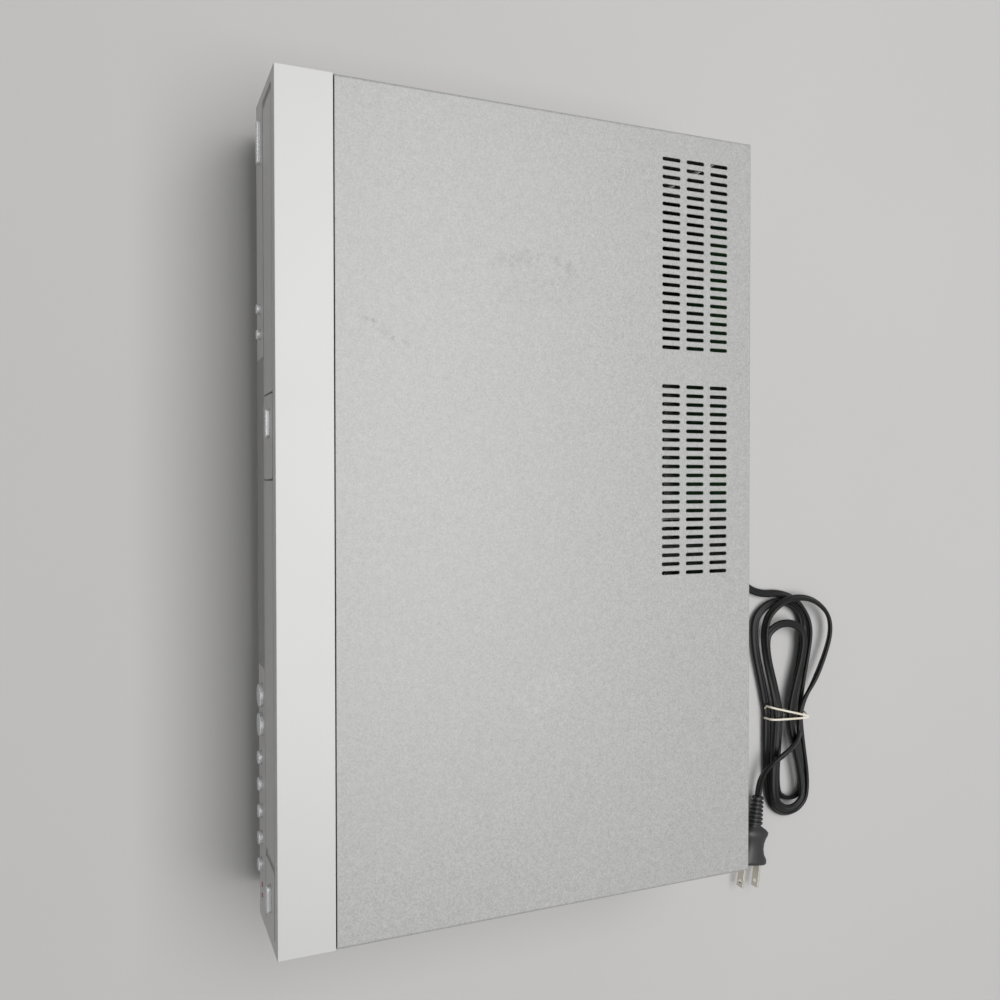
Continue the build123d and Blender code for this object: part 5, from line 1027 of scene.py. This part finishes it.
    def _line(self, stops: Sequence[Stop]) -> list[Vector]:
        """Points of the smooth spline that has these control points."""
        curve = bpy.data.curves.new("cord_route", "CURVE")
        curve.dimensions = "3D"
        spline = curve.splines.new("NURBS")
        spline.points.add(len(stops) - 1)
        for point, stop in zip(spline.points, stops):
            point.co = (*metres(stop.x, stop.y, stop.z), 1.0)
        spline.order_u = 3
        spline.use_endpoint_u = True
        spline.resolution_u = 8
        carrier = bpy.data.objects.new("cord_route", curve)
        mesh = bpy.data.meshes.new_from_object(carrier)
        line = [vertex.co.copy() for vertex in mesh.vertices]
        bpy.data.meshes.remove(mesh)
        bpy.data.objects.remove(carrier)
        bpy.data.curves.remove(curve)
        apart = [line[0]]
        apart.extend(point for point in line[1:-1] if (point - line[0]).length > 0.0001)
        return [*apart, line[-1]]

    def _rolls(self, stops: Sequence[Stop], line: Sequence[Vector]) -> list[float]:
        """The flat side's angle at each point of the line, in radians."""
        places = [Vector(metres(stop.x, stop.y, stop.z)) for stop in stops]
        reach = [0.0]
        for before, after in zip(places, places[1:]):
            reach.append(reach[-1] + (after - before).length)
        along = [0.0]
        for before, after in zip(line, line[1:]):
            along.append(along[-1] + (after - before).length)
        rolls, index = [], 0
        for distance in along:
            share = distance / along[-1] * reach[-1]
            while index < len(reach) - 2 and reach[index + 1] < share:
                index += 1
            part = (share - reach[index]) / (reach[index + 1] - reach[index])
            part = min(max(part, 0.0), 1.0)
            rolls.append(radians(stops[index].roll * (1 - part) + stops[index + 1].roll * part))
        return rolls

    def _profile(self) -> list[Pair]:
        """Outline of the twin lead: two round cores with a groove between them on each side."""
        radius = self.thickness / 2
        centre = self.width / 2 - radius
        right = []
        for degrees in range(-self.groove_angle, self.groove_angle + 1, self.profile_step):
            angle = radians(degrees)
            right.append((centre + radius * cos(angle), radius * sin(angle)))
        left = [(-x, -y) for x, y in right]
        return right + left

    def _flat_lead(self, line: Sequence[Vector], rolls: Sequence[float]) -> bpy.types.Object:
        """Sweep the twin lead along the line."""
        profile = self._profile()
        upright = Vector((0, 0, 1))
        rings = []
        for index, (point, roll) in enumerate(zip(line, rolls)):
            heading = (line[min(index + 1, len(line) - 1)] - line[max(index - 1, 0)]).normalized()
            side = heading.cross(upright).normalized()
            top = side.cross(heading)
            wide = top * cos(roll) + side * sin(roll)
            thin = heading.cross(wide)
            rings.append([point + wide * x + thin * y for x, y in profile])
        form = Sheet()
        form.sweep(rings)
        cord = form.piece("mains_cord", self.wardrobe.get(SHEATH), "cord_black", smooth=60.0)
        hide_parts("cord_lead", "cord_hank", "cord_tail")
        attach(cord, "root")
        return cord

    def _band(self) -> bpy.types.Object:
        """The rubber band, wound twice round the waist, one winding askew."""
        form = Sheet()
        middle = (self.band_low + self.band_high) / 2
        rise = (self.band_high - self.band_low) / 2
        for shift, slant in self.windings:
            rings = []
            for step in range(self.band_steps):
                angle = 2 * pi * step / self.band_steps
                across = self._squared(cos(angle))
                up = self._squared(sin(angle))
                lean = slant * self.band_reach * across * (1 if up > 0 else self.return_slant)
                y = self.waist_y + self.band_reach * across
                centre = Vector(metres(self.waist_x + shift + lean, y, middle + rise * up))
                outward = Vector((0, across * rise, up * self.band_reach)).normalized()
                rings.append(self._band_section(centre, outward))
            form.sweep(rings, closed=True)
        band = form.piece("hank_band", self.wardrobe.get(BAND), "band_rubber", smooth=60.0)
        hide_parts("rubber_band")
        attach(band, "root")
        return band

    def _band_section(self, centre: Vector, outward: Vector) -> list[Vector]:
        """One oval section of the rubber band."""
        size = self.band_radius * MM
        flat, thin = self.band_flatness
        ring = []
        for side in range(self.band_sides):
            turn = 2 * pi * side / self.band_sides
            ring.append(
                centre + Vector((1, 0, 0)) * cos(turn) * size * flat + outward * sin(turn) * size * thin
            )
        return ring

    def _plug(self) -> bpy.types.Object:
        """The plug's moulding: a ribbed strain relief that opens into a waisted grip."""
        sections: list[tuple[float, float, float]] = [(0.0, 6.2, 6.8)]
        for rib in range(self.plug_ribs):
            share = rib / (self.plug_ribs - 1)
            tall = self.neck_size[0] + self.neck_growth[0] * share
            wide = self.neck_size[1] + self.neck_growth[1] * share
            low, narrow = tall - self.rib_depth[0], wide - self.rib_depth[1]
            start = 0.5 + rib * self.rib_pitch
            groove = start + self.rib_pitch * self.rib_groove
            sections.append((start, tall, wide))
            sections.append((start + self.rib_pitch * self.rib_crest, tall, wide))
            sections.append((groove, low, narrow))
            sections.append((groove + self.rib_pitch * self.rib_floor, low, narrow))
        sections.extend(self.grip)
        heading = Vector((cos(self.plug_lean), sin(self.plug_lean), 0.0))
        sideways = Vector((-sin(self.plug_lean), cos(self.plug_lean), 0.0))
        start = Vector(metres(*self.plug_place))
        rings = []
        for reach, tall, wide in sections:
            centre = start + heading * reach * MM
            ring = []
            for side in range(self.plug_sides):
                angle = 2 * pi * side / self.plug_sides
                across = self._squared(cos(angle), self.plug_corner) * wide / 2 * MM
                up = self._squared(sin(angle), self.plug_corner) * tall / 2 * MM
                ring.append(centre + sideways * across + Vector((0, 0, up)))
            rings.append(ring)
        form = Sheet()
        form.sweep(rings)
        plug = form.piece("plug_moulding", self.wardrobe.get(PLUG), "cord_black", smooth=50.0)
        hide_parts("plug_body")
        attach(plug, "root")
        return plug

    @staticmethod
    def _squared(value: float, power: float = 0.45) -> float:
        """A cosine or sine pushed out towards a rounded square."""
        return (abs(value) ** power) * (1 if value >= 0 else -1)


# ---------------------------------------------------------------- rear sockets


@dataclass
class SocketRings:
    """The coloured plastic rings round the signal sockets of the rear panel."""

    wardrobe: Wardrobe
    panel_y: float = 132.2
    inner: float = 4.3
    outer: float = 6.5
    thickness: float = 1.0
    rounding: float = 0.3
    sides: int = 40
    places: Mapping[str, tuple[Pair, ...]] = field(
        default_factory=lambda: {
            "yellow": ((66.0, 26.0), (66.0, 42.0), (-148.0, 26.0)),
            "white": ((80.0, 26.0), (80.0, 42.0), (-176.0, 26.0)),
            "red": ((94.0, 26.0), (94.0, 42.0), (-190.0, 26.0)),
            "orange": ((-162.0, 26.0),),
        }
    )

    def build(self) -> None:
        """One piece for each colour."""
        for colour, places in self.places.items():
            form = Sheet()
            for x, z in places:
                form.sweep(self._rings(x, z), closed=True)
            finish = RING_COLOURS[colour]
            piece = form.piece(f"{colour}_socket_rings", self.wardrobe.get(finish), "black_plastic")
            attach(piece, "root")
            LOG.info("%s socket rings: %d", colour, len(places))

    def _rings(self, x: float, z: float) -> list[list[Vector]]:
        """Sections of one ring, in order round its socket."""
        face, back = self.panel_y + self.thickness, self.panel_y
        corner = self.rounding
        section = (
            (self.inner, back),
            (self.inner, face - corner),
            (self.inner + corner, face),
            (self.outer - corner, face),
            (self.outer, face - corner),
            (self.outer, back),
        )
        found = []
        for step in range(self.sides):
            angle = 2 * pi * step / self.sides
            ring = [(x + radius * cos(angle), y, z + radius * sin(angle)) for radius, y in section]
            found.append([Vector(metres(*point)) for point in ring])
        return found


# ---------------------------------------------------------------- the player itself


@dataclass
class Casework:
    """The CAD's own pieces with their finishes."""

    wardrobe: Wardrobe
    record: Mapping[str, object]
    own: dict[str, Finish] = field(
        default_factory=lambda: {
            "key_board": KEYS_BOARD,
            "rear_jacks": JACKS,
            "strain_relief": RUBBER,
            "tuner_module": NICKEL,
        }
    )

    def build(self) -> None:
        """Give every node the finish of its slot, or its own."""
        for part in self.record["subparts"]:
            name, slot = part["node"], part["material_slot"]
            finish = self.own.get(name, SLOT_FINISHES[slot])
            if name.endswith("_button") or "_button_" in name:
                finish = BRIGHT_SILVER
            self.wardrobe.dress(NODES[name], finish)
            LOG.info("%s: %s", name, finish.name)


NODES: dict[str, bpy.types.Object] = {}


def main() -> None:
    """Load the frame and build each sub-assembly."""
    logging.basicConfig(level=logging.INFO, format="%(name)s %(message)s")
    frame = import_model()
    NODES.update(frame["nodes"])
    wardrobe = Wardrobe()
    Studio().build()
    MainsCord(wardrobe).build()
    SocketRings(wardrobe).build()
    Casework(wardrobe, frame["record"]).build()


if __name__ == "__main__":
    main()
